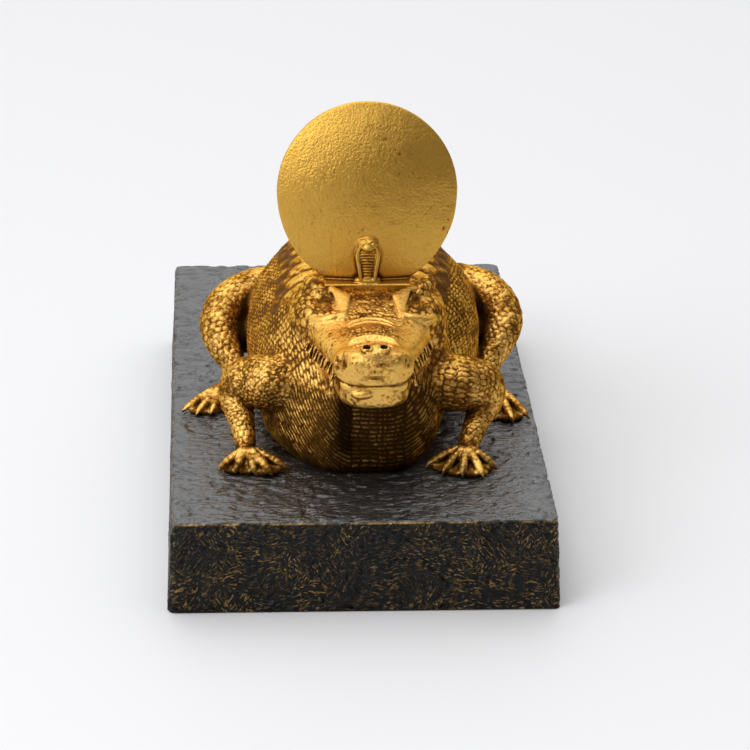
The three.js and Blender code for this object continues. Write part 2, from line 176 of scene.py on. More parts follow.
def join_parts(parts, points, reach=2.5):
    """The distance to all the parts together, each joined or cut in its turn."""
    total = np.full(len(points), FAR, np.float32)
    low, high = points.min(0), points.max(0)
    for part in parts:
        margin = reach + part.blend
        if np.any(part.low - margin > high) or np.any(part.high + margin < low):
            continue
        near = points_near(part, points, margin)
        if len(near):
            distance = part.distance(points[near])
            total[near] = (smooth_max(total[near], -distance, part.blend) if part.cut
                           else smooth_min(total[near], distance, part.blend))
    return total


def smooth_table(stations, step=0.25):
    """Rows [place, values...] as smooth curves without overshoot, sampled at even steps."""
    rows = np.array(stations, float)
    place, values = rows[:, 0], rows[:, 1:]
    gaps = np.diff(place)[:, None]
    slopes = np.diff(values, axis=0) / gaps
    before, after = slopes[:-1], slopes[1:]
    same_way = before * after > 0
    harmonic = 2 * before * after / np.where(same_way, before + after, 1)
    tangents = np.vstack([slopes[:1], np.where(same_way, harmonic, 0), slopes[-1:]])
    fine = np.arange(place[0], place[-1] + step, step)
    fine[-1] = place[-1]
    i = np.clip(np.searchsorted(place, fine) - 1, 0, len(place) - 2)
    width = gaps[i]
    t = ((fine - place[i])[:, None]) / width
    result = ((2 * t ** 3 - 3 * t ** 2 + 1) * values[i] + (t ** 3 - 2 * t ** 2 + t) * width * tangents[i]
              + (3 * t ** 2 - 2 * t ** 3) * values[i + 1] + (t ** 3 - t ** 2) * width * tangents[i + 1])
    return fine, result


class Loft:
    """A form over upright cross-sections: rows [along, sideways, half width, bottom, widest height, top]."""

    def __init__(self, stations, power, lower_power):
        self.along, self.values = smooth_table(stations)
        self.power, self.lower_power = power, lower_power
        along, _, half, bottom, _, top = np.array(stations).T
        out = half.max() + 3
        self.low, self.high = (-out, along[0], bottom.min()), (out, along[-1], top.max())

    def section(self, y):
        return [np.interp(y, self.along, column) for column in self.values.T]

    def level(self, points, y):
        side, half, bottom, middle, top = self.section(y)
        out = np.abs(points[:, 0] - side) / half
        above = points[:, 2] > middle
        height = np.where(above, top - middle, middle - bottom)
        up = np.abs(points[:, 2] - middle) / height
        power = np.where(above, self.power, self.lower_power)
        level = (out ** power + up ** power + 1e-9) ** (1 / power)
        return level, out, up, power, half, height

    def distance(self, points):
        y = points[:, 1]
        level, out, up, power, half, height = self.level(points, y)
        step = 0.4
        ahead, behind = [self.level(points, place)[0] for place in (y + step, y - step)]
        scale = level ** (1 - power)
        slope = np.sqrt((scale * out ** (power - 1) / half) ** 2 + (scale * up ** (power - 1) / height) ** 2
                        + ((ahead - behind) / (2 * step)) ** 2 + 1e-9)
        ends = np.maximum(self.along[0] - y, y - self.along[-1])
        return np.maximum((level - 1) / slope, ends).astype(np.float32)

    def part(self, blend):
        return Part(self.distance, self.low, self.high, blend)


class Limb:
    """A round form along a smooth line of stations [x, y, z, radius]."""

    def __init__(self, stations, steps=3):
        self.nodes = self.refine(np.array(stations, float), steps)
        centres = self.nodes[:, :3]
        ahead = np.diff(centres, axis=0)
        lengths = np.linalg.norm(ahead, axis=1)
        self.along = np.concatenate([[0], np.cumsum(lengths)])
        self.length = self.along[-1]
        radius = self.nodes[:, 3:4]
        self.low, self.high = (centres - radius).min(0), (centres + radius).max(0)
        self.normals = self.frames(ahead / lengths[:, None])

    @staticmethod
    def refine(rows, steps):
        """Points on a Catmull-Rom curve through the rows."""
        if len(rows) < 3:
            return rows
        padded = np.vstack([2 * rows[0] - rows[1], rows, 2 * rows[-1] - rows[-2]])
        result = []
        for i in range(1, len(padded) - 2):
            a, b, c, d = padded[i - 1:i + 3]
            for t in np.arange(steps) / steps:
                result.append(0.5 * (2 * b + (c - a) * t + (2 * a - 5 * b + 4 * c - d) * t ** 2
                                     + (3 * b - a - 3 * c + d) * t ** 3))
        result.append(rows[-1])
        return np.array(result)

    @staticmethod
    def frames(directions):
        """A direction across the limb at each node, turned as little as can be from one to the next."""
        start = np.array([0, 0, 1.0])
        normal = start - directions[0] * (start @ directions[0])
        if np.linalg.norm(normal) < 0.2:
            normal = np.array([0, 1.0, 0]) - directions[0] * directions[0][1]
        normals = []
        for direction in list(directions) + [directions[-1]]:
            normal = normal - direction * (normal @ direction)
            normal /= np.linalg.norm(normal)
            normals.append(normal)
        return np.array(normals)

    def measure(self, points, wanted=False):
        """The distance, and where wanted the place along and the angle around."""
        best = np.full(len(points), FAR, np.float32)
        along, angle = np.zeros((2, len(points)), np.float32)
        total = np.full(len(points), 1e-9, np.float32)
        for i, (a, b) in enumerate(zip(self.nodes, self.nodes[1:])):
            line = (b - a)[:3]
            offset = points - a[:3].astype(np.float32)
            share = np.clip(offset @ line / (line @ line), 0, 1).astype(np.float32)
            away = offset - share[:, None] * line.astype(np.float32)
            radius = a[3] + share * (b[3] - a[3])
            distance = np.sqrt((away ** 2).sum(1)) - radius
            closer = distance < best
            best = np.where(closer, distance, best)
            if wanted:
                across = self.normals[i] + share[:, None] * (self.normals[i + 1] - self.normals[i])
                other = np.cross(line / np.linalg.norm(line), self.normals[i])
                turn = np.arctan2(away @ other, (away * across).sum(1))
                # The place is a mean over the pieces near by, so that it runs evenly round a bend
                weight = np.exp(-np.clip(distance, -12, 40))
                along += weight * (self.along[i] + share * (self.along[i + 1] - self.along[i]))
                total += weight
                angle = np.where(closer, turn, angle)
        return (best, along / total, angle) if wanted else best

    def part(self, blend):
        return Part(self.measure, self.low, self.high, blend)


def egg(centre, radii, tilt=0.0, blend=1.0, cut=False, turn=0.0):
    """An ellipsoid, tilted about X and then turned about Z, in degrees."""
    spin = Matrix.Rotation(math.radians(turn), 3, "Z") @ Matrix.Rotation(math.radians(tilt), 3, "X")
    back, radii, centre = [np.array(value, np.float32) for value in (spin.transposed(), radii, centre)]

    def distance(points):
        local = (points - centre) @ back.T / radii
        size = np.sqrt((local ** 2).sum(1))
        slope = np.sqrt(((local / radii) ** 2).sum(1)) + 1e-6
        return size * (size - 1) / slope

    reach = radii.max()
    return Part(distance, centre - reach, centre + reach, blend, cut)


def wedge(corners, thickness, blend):
    """A triangular plate with rounded edges, of a thickness to each side."""
    a, b, c = [np.array(corner, np.float32) for corner in corners]
    edges = [(a, b), (b, c), (c, a)]
    normal = np.cross(b - a, c - a)
    normal /= np.linalg.norm(normal)

    def distance(points):
        height = np.abs((points - a) @ normal)
        inside = np.ones(len(points), bool)
        nearest = np.full(len(points), FAR, np.float32)
        for start, end in edges:
            line = end - start
            offset = points - start
            inside &= offset @ np.cross(normal, line) >= 0
            share = np.clip(offset @ line / (line @ line), 0, 1)
            nearest = np.minimum(nearest, np.sqrt(((offset - share[:, None] * line) ** 2).sum(1)))
        return np.where(inside, height, nearest) - thickness

    corners = np.array([a, b, c])
    return Part(distance, corners.min(0) - thickness, corners.max(0) + thickness, blend)


def block(low, high, rounding, blend=0.1, cut=False):
    """A box with rounded edges."""
    low, high = np.array(low, np.float32), np.array(high, np.float32)
    middle, half = (low + high) / 2, (high - low) / 2 - rounding

    def distance(points):
        over = np.abs(points - middle) - half
        outside = np.sqrt((np.maximum(over, 0) ** 2).sum(1))
        return outside + np.minimum(over.max(1), 0) - rounding

    return Part(distance, low, high, blend, cut)


# From distances to a mesh

KEEP_FACTOR = 0.2  # how much more finely a mesh is kept where it counts
KEEP_LEVELS = 16
COARSER = 5  # how many fine cells a coarse cell is wide
SLAB = 16  # rows of fine cells worked out at once


def corner_of_cells(grid, corner):
    """The grid's values at one corner of each of its cells."""
    return grid[tuple(slice(start, start + count - 1) for start, count in zip(corner, grid.shape))]


def spread(blocks):
    """Each coarse cell's value in all of its fine cells."""
    for axis in range(3):
        blocks = np.repeat(blocks, COARSER, axis=axis)
    return blocks


def distances_near_surface(parts, low, high, cell):
    """The distance on a fine grid, worked out only near the surface, and its sign elsewhere."""
    coarse = cell * COARSER
    counts = [math.ceil(span / coarse) + 1 for span in high - low]
    across, along, up = [start + coarse * np.arange(count) for start, count in zip(low, counts)]
    x, z = np.meshgrid(across, up, indexing="ij")
    coarse_grid = np.empty(counts, np.float32)
    for j, y in enumerate(along):
        slab = np.stack([x.ravel(), np.full(x.size, y), z.ravel()], 1).astype(np.float32)
        coarse_grid[:, j] = join_parts(parts, slab, reach=2 * coarse).reshape(x.shape)
    smallest = np.min([np.abs(corner_of_cells(coarse_grid, corner)) for corner in CORNERS], axis=0)
    fine = np.full([(count - 1) * COARSER + 1 for count in counts], coarse, np.float32)
    fine[:-1, :-1, :-1] = spread(np.where(coarse_grid[:-1, :-1, :-1] < 0, -coarse, coarse).astype(np.float32))
    wanted = np.zeros(fine.shape, bool)
    wanted[:-1, :-1, :-1] = spread(smallest < 1.25 * coarse)
    wanted[1:] |= wanted[:-1]
    wanted[:, 1:] |= wanted[:, :-1]
    wanted[:, :, 1:] |= wanted[:, :, :-1]
    for start in range(0, fine.shape[1], SLAB):
        where = np.argwhere(wanted[:, start:start + SLAB]) + (0, start, 0)
        if len(where):
            fine[tuple(where.T)] = join_parts(parts, (low + cell * where).astype(np.float32))
    return fine


def surface_of(grid, low, cell):
    """A closed mesh of four-sided faces where the grid's values change sign."""
    inside = grid < 0
    shape = np.array(grid.shape) - 1
    corners = sum(corner_of_cells(inside, corner).astype(np.uint8) for corner in CORNERS)
    cells = np.argwhere((corners > 0) & (corners < 8))
    index = np.full(shape, -1, np.int32)
    index[tuple(cells.T)] = np.arange(len(cells))
    total = np.zeros((len(cells), 3), np.float32)
    crossings = np.zeros(len(cells), np.float32)
    for axis, a, b in product(range(3), (0, 1), (0, 1)):
        start = cells + np.insert([a, b], axis, 0)
        first, last = grid[tuple(start.T)], grid[tuple((start + np.eye(3, dtype=int)[axis]).T)]
        crosses = (first < 0) != (last < 0)
        spot = start.astype(np.float32)
        spot[:, axis] += np.where(crosses, first / np.where(crosses, first - last, 1), 0)
        total += spot * crosses[:, None]
        crossings += crosses
    faces = []
    for axis in range(3):
        others = [other for other in range(3) if other != axis]
        edges = np.argwhere(np.diff(inside, axis=axis))
        edges = edges[np.all((edges[:, others] > 0) & (edges[:, others] < shape[others]), 1)]
        quad = np.stack([index[tuple((edges + np.insert(step, axis, 0)).T)]
                         for step in ((0, 0), (-1, 0), (-1, -1), (0, -1))], 1)
        inwards = inside[tuple(edges.T)] == (axis == 1)
        quad[inwards] = quad[inwards][:, ::-1]
        faces.append(quad)
    return (low + cell * total / crossings[:, None]).astype(np.float32), np.concatenate(faces)


def normals_of(points, faces):
    a, b, c, d = [points[faces[:, i]] for i in range(4)]
    facing = np.cross(c - a, d - b)
    total = np.zeros_like(points)
    for i in range(4):
        for axis in range(3):
            total[:, axis] += np.bincount(faces[:, i], facing[:, axis], len(points)).astype(np.float32)
    return total / np.maximum(np.linalg.norm(total, axis=1, keepdims=True), 1e-9)


def sample(grid, low, cell, points):
    """The grid's value at any place."""
    place = np.clip((points - low) / cell, 0, np.array(grid.shape) - 1.001)
    cells = place.astype(np.int32)
    share = place - cells
    total = np.zeros(len(points), np.float32)
    for corner in CORNERS:
        x, y, z = sides(share, corner)
        total += x * y * z * grid[tuple((cells + corner).T)]
    return total


def carve(parts, box, margin, cell):
    """The parts' grid, with where it starts and its spacing, and their surface."""
    low, high = box + [[-margin], [margin]]
    grid = distances_near_surface(parts, low, high, cell)
    return (grid, low, cell), *surface_of(grid, low, cell)


def openness(grid, low, cell, points, normals):
    """How open each place is to its surroundings, from 0 in a deep recess to 1."""
    hidden = np.zeros(len(points), np.float32)
    for step, weight in ((0.8, 0.35), (1.6, 0.35), (2.6, 0.3)):
        clear = sample(grid, low, cell, points + normals * step)
        hidden += weight * np.clip(1 - clear / (0.9 * step), 0, 1)
    return np.clip(1 - 1.4 * hidden, 0, 1)


def mesh_piece(name, points, faces, fields, keep, triangles):
    """A smooth mesh object in metres, thinned to a number of triangles, finest where keep is high."""
    mesh = bpy.data.meshes.new(name)
    mesh.vertices.add(len(points))
    mesh.vertices.foreach_set("co", points.astype(np.float32).ravel())
    mesh.loops.add(faces.size)
    mesh.loops.foreach_set("vertex_index", faces.astype(np.int32).ravel())
    mesh.polygons.add(len(faces))
    mesh.polygons.foreach_set("loop_start", np.arange(0, faces.size, 4, dtype=np.int32))
    mesh.update(calc_edges=True)
    mesh.validate()
    for field, values in fields.items():
        attribute = mesh.attributes.new(field, "FLOAT", "POINT")
        attribute.data.foreach_set("value", values.astype(np.float32))
    piece = bpy.data.objects.new(name, mesh)
    bpy.context.scene.collection.objects.link(piece)
    bpy.context.view_layer.objects.active = piece
    group = piece.vertex_groups.new(name="keep")
    level = np.clip((keep * KEEP_LEVELS).astype(int), 0, KEEP_LEVELS)
    for value in range(KEEP_LEVELS + 1):
        group.add(np.flatnonzero(level == value).tolist(), value / KEEP_LEVELS, "REPLACE")
    thin = piece.modifiers.new("thin", "DECIMATE")
    thin.ratio = min(1.0, triangles / (2 * len(faces)))
    thin.use_collapse_triangulate = True
    thin.vertex_group, thin.vertex_group_factor, thin.invert_vertex_group = group.name, KEEP_FACTOR, True
    bpy.ops.object.modifier_apply(modifier=thin.name)
    piece.vertex_groups.clear()
    mesh.transform(Matrix.Scale(MM, 4))
    mesh.shade_smooth()
    return piece


# The crown's sizes: a platform on the head, with a disk that leans back and a rearing cobra before it
CROWN_SEAT = 46.0  # above the plinth's top
CROWN_FRONT = -43.4  # the platform's front edge, along the plinth
PLATFORM = (25, 12, 2)  # width, depth, height
DISK_WIDTH = np.ptp(crown_box[:, 0])
DISK_UPPER, DISK_LOWER = 26.0, 28.5  # from the disk's centre up, and down to where its outline would close
DISK_DOMES = (5.0, 3.2)  # how far the front and the back bulge past the rim
DISK_RIM = 1.4
DISK_CENTRE = 25.3  # along the disk's face, from the platform's top
DISK_LEAN = 11  # degrees, backwards
DISK_BASE = 5.2  # from the platform's front edge to the disk's middle plane


# The crocodile's forms, in millimetres across from its axis, along the plinth and up from the plinth's top

SUNK = 0.6  # how far the figure goes into the plinth
FOOT_REACH = 16  # a foot's points are within this of its palm
CELL = 0.34  # spacing of the carved surface before it is thinned

# Body and tail: [along, sideways, half width, bottom, widest height, top]
BODY = [
    [-69.4, -1.6, 5, 1.5, 8, 14.5], [-68.4, -1.6, 10.5, -1.2, 9, 20.6], [-66, -1.8, 14.6, -2.4, 10, 25.5],
    [-62, -2.2, 18.8, -3, 11, 30], [-56, -3.2, 23.2, -3, 12.5, 36], [-48, -4.2, 26.4, -3, 15, 41.5],
    [-38, -3.6, 28.6, -2.8, 17.4, 44.8], [-26, -1.2, 32, -2.5, 19.4, 46], [-12, 0.4, 34.6, -2.2, 20.4, 46.5],
    [2, 0.8, 34.4, -2, 20.5, 46.2], [14, 1, 31.8, -1.8, 20, 45.4], [26, 1, 27.8, -1.6, 19, 43.4],
    [37, 1.2, 22.4, -1.4, 17, 38.5], [48, 1.6, 17.4, -1.2, 14.5, 32.5], [59, 2.2, 13.4, -1, 12, 27],
    [70, 2.2, 10.6, -1, 10, 22], [80, 0.8, 8.2, -0.8, 8, 17.5], [88, -1.6, 6.2, -0.6, 6, 13],
    [93.5, -4.2, 4, -0.4, 4.2, 9], [96.4, -5.8, 2, 0, 2.6, 5.6],
]
# Jaws: [along, half width, bottom, top]
UPPER_JAW = [
    [-86.4, 5, 34.6, 40.4], [-85.6, 8, 33.2, 42.3], [-83, 10.7, 32.4, 43.6], [-79, 11.5, 32.2, 43.5],
    [-74.6, 10.9, 32.2, 42.6], [-69, 13, 32, 42], [-63.5, 15, 31.6, 42.2], [-58, 16.4, 31.4, 43.2],
    [-53, 18.8, 31.2, 44.6], [-47, 21.4, 30.6, 46.2], [-41, 22.4, 29.6, 46.8], [-34, 22.2, 28.6, 46.8],
    [-27, 20, 28, 45.6],
]
LOWER_JAW = [
    [-85.4, 4.4, 28.2, 33.2], [-84.6, 7.2, 26.8, 34.2], [-82, 9.6, 25.9, 34.4], [-76, 10.5, 25.6, 34],
    [-68.5, 11.8, 25.4, 33.6], [-61, 14.4, 25.2, 33.2], [-54, 18.2, 24.8, 32.8], [-47, 21.6, 24, 32.4],
    [-40, 23, 22.6, 32], [-33, 22.2, 20.8, 31.6],
]
# Legs: stations [across, along, up, radius], palm, its size, and the toes' tips
LEGS = {
    "front_left": {
        "stations": [
            [-16, -42, 20, 9], [-26.9, -52, 21.4, 8.1], [-31, -50, 20.6, 7.8], [-35.3, -48, 19.7, 6.9],
            [-37.8, -49, 16.1, 5.3], [-36.8, -53.5, 11.8, 3.9], [-36, -57.5, 8.4, 3.2],
            [-35.5, -60.2, 5.6, 3],
        ],
        "palm": [-34.8, -63, 1.8], "size": [5.8, 4.8, 2.6],
        "toes": [[-43.4, -67], [-38.6, -69], [-32.9, -69.8], [-28, -71], [-23.2, -67.4]],
    },
    "front_right": {
        "stations": [
            [12, -42, 20, 9], [24.6, -50, 20, 8.1], [29.6, -48.5, 18.8, 7.8], [33.1, -46.5, 17.2, 6.9],
            [34.3, -48, 13.9, 5.3], [32.3, -52, 10.1, 3.9], [30.1, -57, 7.2, 3.2],
            [28.7, -60.3, 5, 3],
        ],
        "palm": [27.6, -63.4, 1.8], "size": [6, 4.9, 2.6],
        "toes": [[16, -65.8], [20.5, -71], [26.2, -73], [32.2, -73.2], [36.4, -68]],
    },
    "hind_left": {
        "stations": [
            [-11, 31, 18, 8], [-20.5, 28, 19, 8.2], [-32.6, 18, 21.5, 7.3], [-40, 9, 20.9, 6.5],
            [-43, 1.5, 17.4, 5.4], [-41.2, -4, 13, 4.7], [-38.4, -8, 9.2, 3.9],
            [-38.6, -12, 5.6, 3.2],
        ],
        "calf": [[-39.5, 4, 13, 5], [-36, 9, 12.5, 6.6], [-28, 16, 12, 8]],
        "palm": [-40.4, -15, 1.8], "size": [4.4, 4.9, 2.6],
        "toes": [[-54, -24.4], [-49.8, -26.6], [-45.4, -26.4], [-40.6, -24]],
    },
    "hind_right": {
        "stations": [
            [11, 31, 18, 8], [22.5, 28, 19.4, 8.2], [35.2, 18, 22.4, 7.3], [41.7, 9, 21.8, 6.5],
            [44.2, 1.5, 18.2, 5.4], [41.6, -4, 13.4, 4.8], [38.2, -9, 9, 3.9], [38.2, -14, 5.4, 3.2],
        ],
        "calf": [[40.5, 4, 13, 5], [37, 9, 12.5, 6.6], [28, 16, 12, 8]],
        "palm": [39.6, -18, 1.8], "size": [4.4, 4.9, 2.6],
        "toes": [[49.2, -31.4], [44.2, -34.6], [39, -32.6], [35.4, -27.6]],
    },
}
TOE_RADIUS = 1.42
WIDEST_WEB = 7.5  # no skin joins two toes whose tips are further apart
BACK_POWER, BELLY_POWER, JAW_POWER = 2.2, 3, 2.6  # how square each section is, from 2 for a round one


def jaw(stations):
    return Loft([[y, 0, half, bottom, (bottom + top) / 2, top] for y, half, bottom, top in stations],
                JAW_POWER, JAW_POWER)


body_form = Loft(BODY, BACK_POWER, BELLY_POWER)
upper_jaw = jaw(UPPER_JAW)
lower_jaw = jaw(LOWER_JAW)
limb_forms = {name: Limb(leg["stations"]) for name, leg in LEGS.items()}


def toe_form(palm, tip):
    def along(share):
        return mix(palm[0], tip[0], share), mix(palm[1], tip[1], share)
    return Limb([
        [*along(0.16), 5.4, 0.8 * TOE_RADIUS], [*along(0.4), 4.1, 0.96 * TOE_RADIUS],
        [*along(0.65), 2.7, TOE_RADIUS], [*along(0.82), 1.7, 0.86 * TOE_RADIUS],
        [*along(0.92), 1.1, 0.55 * TOE_RADIUS], [*along(1), 0.25, 0.3]], steps=2)


toe_forms = {name: [toe_form(leg["palm"], tip) for tip in leg["toes"]] for name, leg in LEGS.items()}


def webs(leg):
    """Low skin between neighbouring toes."""
    palm, toes = leg["palm"], leg["toes"]
    parts = []
    for (one, other), share in product(zip(toes, toes[1:]), (0.33, 0.67)):
        if math.dist(one, other) <= WIDEST_WEB:
            end = [mix(palm[axis], mix(one[axis], other[axis], share), 0.86) for axis in (0, 1)]
            parts.append(Limb([[*palm[:2], 2.2, 1.5], [*end, 0.4, 1.0]]).part(0.4))
    return parts


def height_on(parts, x, y):
    """How high the parts stand at a place."""
    z = np.arange(50, 30, -0.05, dtype=np.float32)
    points = np.stack([np.full(z.shape, x), np.full(z.shape, y), z], 1).astype(np.float32)
    return float(z[np.argmax(join_parts(parts, points) < 0)])


EYES_ASIDE = 0.8  # the skull stands this far off the figure's axis at the eyes


def eye_spot(side, x, y, z):
    return [EYES_ASIDE + side * x, y, z]


def eye_limb(side, *stations):
    return Limb([[*eye_spot(side, x, y, z), radius] for x, y, z, radius in stations])


def eyeball(side):
    return egg(eye_spot(side, 13.2, -48.8, 42.3), [2.8, 3.2, 2.6], blend=0.15)


def brow(side):
    corners = (6.3, -48.6, 46.6), (11.2, -44.8, 47.6), (8.0, -56.6, 43.2)
    return wedge([eye_spot(side, *corner) for corner in corners], 0.7, 0.35)


def lid(side):
    """A thick lower lid, from the brow plate's front end outwards and back."""
    return eye_limb(side, (8.4, -55.4, 43.3, 1.0), (11.6, -56.2, 42.6, 1.5), (15.2, -55.2, 41.4, 1.4),
                    (18.2, -51.2, 40.8, 0.7)).part(0.5)


def eye(side):
    """A socket with the ball in it, a triangular brow plate, the lid and the skull's corner behind."""
    return [
        egg(eye_spot(side, 14.2, -49.2, 45.4), [3.1, 3.9, 2.0], blend=0.7, cut=True),
        egg(eye_spot(side, 8.6, -54.6, 42.7), [2.2, 3.2, 1.7], blend=0.6),
        eyeball(side), brow(side), lid(side),
        eye_limb(side, (12.8, -44.2, 45.6, 1.5), (15.8, -40, 46.2, 1.9), (17.0, -34, 45, 2.2)).part(2.0),
    ]


MOUTH = 33.6  # height of the closed mouth's line
TOOTH_PITCH = 2.3
TOOTH_REACH = 1.35  # how far a tooth's root and its point stand from the mouth's line
FIRST_TOOTH, LAST_TOOTH = -80.5, -45.0  # where the row starts, and what it ends before


def half_widths(y):
    """Half of the upper jaw's width and half of the lower jaw's."""
    return [form.section(y)[1] for form in (upper_jaw, lower_jaw)]


def teeth(side):
    """Short teeth that lean inwards over the mouth's line, in turn from the upper and the lower jaw."""
    parts = []
    for i in range(int((LAST_TOOTH - FIRST_TOOTH) / TOOTH_PITCH)):
        y = FIRST_TOOTH + i * TOOTH_PITCH
        half = max(half_widths(y))
        root = TOOTH_REACH if i % 2 else -TOOTH_REACH
        parts.append(Limb([[side * (half - 0.3 * root), y, MOUTH + root, 0.72],
                           [side * (half + 0.3 * root), y, MOUTH - root, 0.34]]).part(0.2))
    return parts


def gums():
    """What fills the closed mouth between the jaws, just inside them."""
    places = (-84, -80, -75, -69, -63, -58, -53, -47, -41, -36)
    return Loft([[y, 0, min(half_widths(y)) - 0.35, MOUTH - 3.6, MOUTH, MOUTH + 3.6] for y in places], 5, 5)


def snout():
    """The muzzle, its nose pad with two nostrils, and the folds of skin across it."""
    parts = [
        lower_jaw.part(2.4), upper_jaw.part(0.5), gums().part(0.4),
        block([-9.6, -85.3, 30.6], [9.6, -70, 36.5], 2.8, 0.5),
        egg([0, -67.5, 40.7], [7.6, 13.5, 2.8], blend=1.6),
        egg([-11.2, -86.4, 41.6], [4.2, 5.2, 4.0], blend=1.4, cut=True),
        egg([11.7, -86.4, 41.6], [4.2, 5.2, 4.0], blend=1.4, cut=True),
        egg([-13.0, -90.0, 37.0], [7.6, 8.0, 13.0], blend=1.0, cut=True),
        egg([13.4, -90.0, 37.0], [7.6, 8.0, 13.0], blend=1.0, cut=True),
        egg([0.2, -81.0, 39.9], [9.2, 5.8, 3.5], blend=0.5),
        egg([-3.4, -85.0, 31.4], [3.2, 1.7, 1.5], blend=0.4),
        egg([0.2, -87.0, 36.6], [5.2, 1.3, 0.4], blend=0.4, cut=True),
    ]
    pad = [0.2, -82.4, 42.7]
    parts.append(egg(pad, [5.0, 3.6, 2.2], tilt=16, blend=0.45))
    for side in SIDES:
        x, y = pad[0] + side * 2.35, -83.5
        top = height_on(parts, x, y)
        parts.append(egg([x, y, top], [1.85, 1.6, 0.95], tilt=20, blend=0.25))
        parts.append(egg([x, y - 0.1, top + 0.7], [0.98, 0.78, 2.0], tilt=20, blend=0.1, cut=True))
    parts += [
        # A lid under one nostril, and pits above the lip
        Limb([[-4.2, -84.3, 42.7, 0.35], [-1.9, -85.5, 43.2, 0.5], [0.6, -85.3, 43.6, 0.35]]).part(0.2),
        egg([-1.2, -87.2, 38.4], [1.7, 0.6, 0.36], blend=0.4, cut=True),
        egg([1.3, -87.2, 37.9], [1.5, 0.55, 0.3], blend=0.4, cut=True),
    ]
    return parts


def crocodile_parts():
    parts = [body_form.part(0.5)]
    parts += [limb_forms[name].part(2.2) for name in LEGS]
    parts += [Limb(leg["calf"]).part(2.5) for leg in LEGS.values() if "calf" in leg]
    parts += snout()
    for side in SIDES:
        parts.append(egg([side * 16.6, -42, 33.4], [6.6, 11.5, 8], blend=2.2))
        parts += eye(side)
        parts += teeth(side)
        # Hollow before the eye
        parts.append(egg([side * 16.6, -60.4, 42.4], [2.2, 3.4, 1.2], turn=side * 20, blend=1.2, cut=True))
    for name, leg in LEGS.items():
        parts.append(egg(leg["palm"], leg["size"], blend=1.4))
        parts += webs(leg)
        parts += [toe.part(0.35) for toe in toe_forms[name]]
    return parts


# Relief: each pattern gives a height from 0 in the grooves to 1, which is also where the gold paint caught

def bead(cells, groove=0.3):
    """A rounded bead or plate with a groove round it, and some plates lower than others."""
    edge, middle, number = cells
    return smooth_step(0.02, groove, edge) * (0.72 + 0.28 * (1 - middle ** 2)) * (0.82 + 0.18 * number)


def lay(under, over, share):
    """Relief, a pair of height and gold, with other relief laid over it by a share."""
    return [mix(low, high, share) for low, high in zip(under, over)]


def around_body(points):
    """Place round the body from the middle of its back, in radians and in millimetres."""
    side, half, bottom, middle, top = body_form.section(points[:, 1])
    across = (points[:, 0] - side) / half
    up = points[:, 2] - middle
    up = up / np.where(up > 0, top - middle, middle - bottom)
    angle = np.arctan2(across, up)
    return angle, angle * np.clip((half + top - middle) / 2, 7, 28)


# Chest: rows run straight across its middle, and turn up at each side
CHEST_SIDES = (-6.0, 10.0)  # where the straight part ends at the left and the right
CHEST_TOP = 24.0  # height of the first row
ROW_PITCH = 1.3


def chest_pattern(points):
    """Rows of small plates, nearly straight in the middle, that rise steeply at the sides as long ridges."""
    x, y, z = points.T
    left, right = CHEST_SIDES
    out = np.maximum(left - x, 0) + 0.5 * np.maximum(x - right, 0)
    round_side = out + 0.3 * np.maximum(y + 69.4, 0) * (out > 0)
    below = np.maximum(CHEST_TOP - z, 0)
    wobble = rough(points, 5, 3, 11) - 0.5
    bend = 1.3
    turned = ((1.15 * round_side) ** bend + below ** bend) ** (1 / bend)
    rows = (turned + 1.5 * wobble) / ROW_PITCH
    at_left = smooth_step(1, 4, left - x)
    at_right = smooth_step(0, 4, x - right)
    across = np.clip(x, left, right) + np.sign(x) * np.arctan2(out, below + 3) * 17
    width = mix(mix(2.5, 3.8, at_left), 2.6, at_right)
    ragged = np.maximum(at_left, 0.35)
    columns = across / width + 0.2 * (rough(points, 4, 2, 13) - 0.5) + ragged * scatter(5, np.floor(rows))
    from_row = np.abs(rows - np.floor(rows) - 0.5) * 2
    from_column = np.abs(columns - np.floor(columns) - 0.5) * 2
    ridge = 1 - smooth_step(0.2, 0.9, from_row)
    ridge = ridge * mix(0.65, 1.0, smooth_step(0.3, 0.6, noise(points, 2.2, 15)))
    gap = mix(mix(0.95, 0.6, at_left), 0.8, at_right)
    gap = gap * smooth_step(mix(0.7, 0.78, at_left), 0.96, from_column)
    number = scatter(6, np.floor(columns), np.floor(rows))
    seam = np.exp(-((x - 3.4) / 0.4) ** 2) * (z > 8)
    return ridge * (1 - gap) * (0.65 + 0.35 * number) * (1 - 0.8 * seam)


def chest_shade(points):
    """How dark the chest is coloured, partly by its dark paint and partly by painted shade: darkest in an
    upright band left of its middle, and darker towards the bottom.
    """
    x, _, z = points.T
    middle = mix(0.3, 0.8, smooth_step(-16, -8, x)) * mix(1.0, 0.75, smooth_step(8, 15, x))
    band = np.exp(-((x + 7.3) / 2.3) ** 4) * smooth_step(4, 9, z)
    low_edge = 1 - smooth_step(1, 5, z)
    return np.clip(middle + 0.35 * band + 0.2 * low_edge, 0, 1.1)


PLATE_PITCH = 7.4
# Rows of plates: [place across the half width, half breadth], the small ones between the large
PLATE_ROWS = ((0.22, 0.19), (0.64, 0.20), (0.43, 0.085), (0.0, 0.07), (0.86, 0.09))
WIDEST_BACK = 27  # the rows spread no further than this


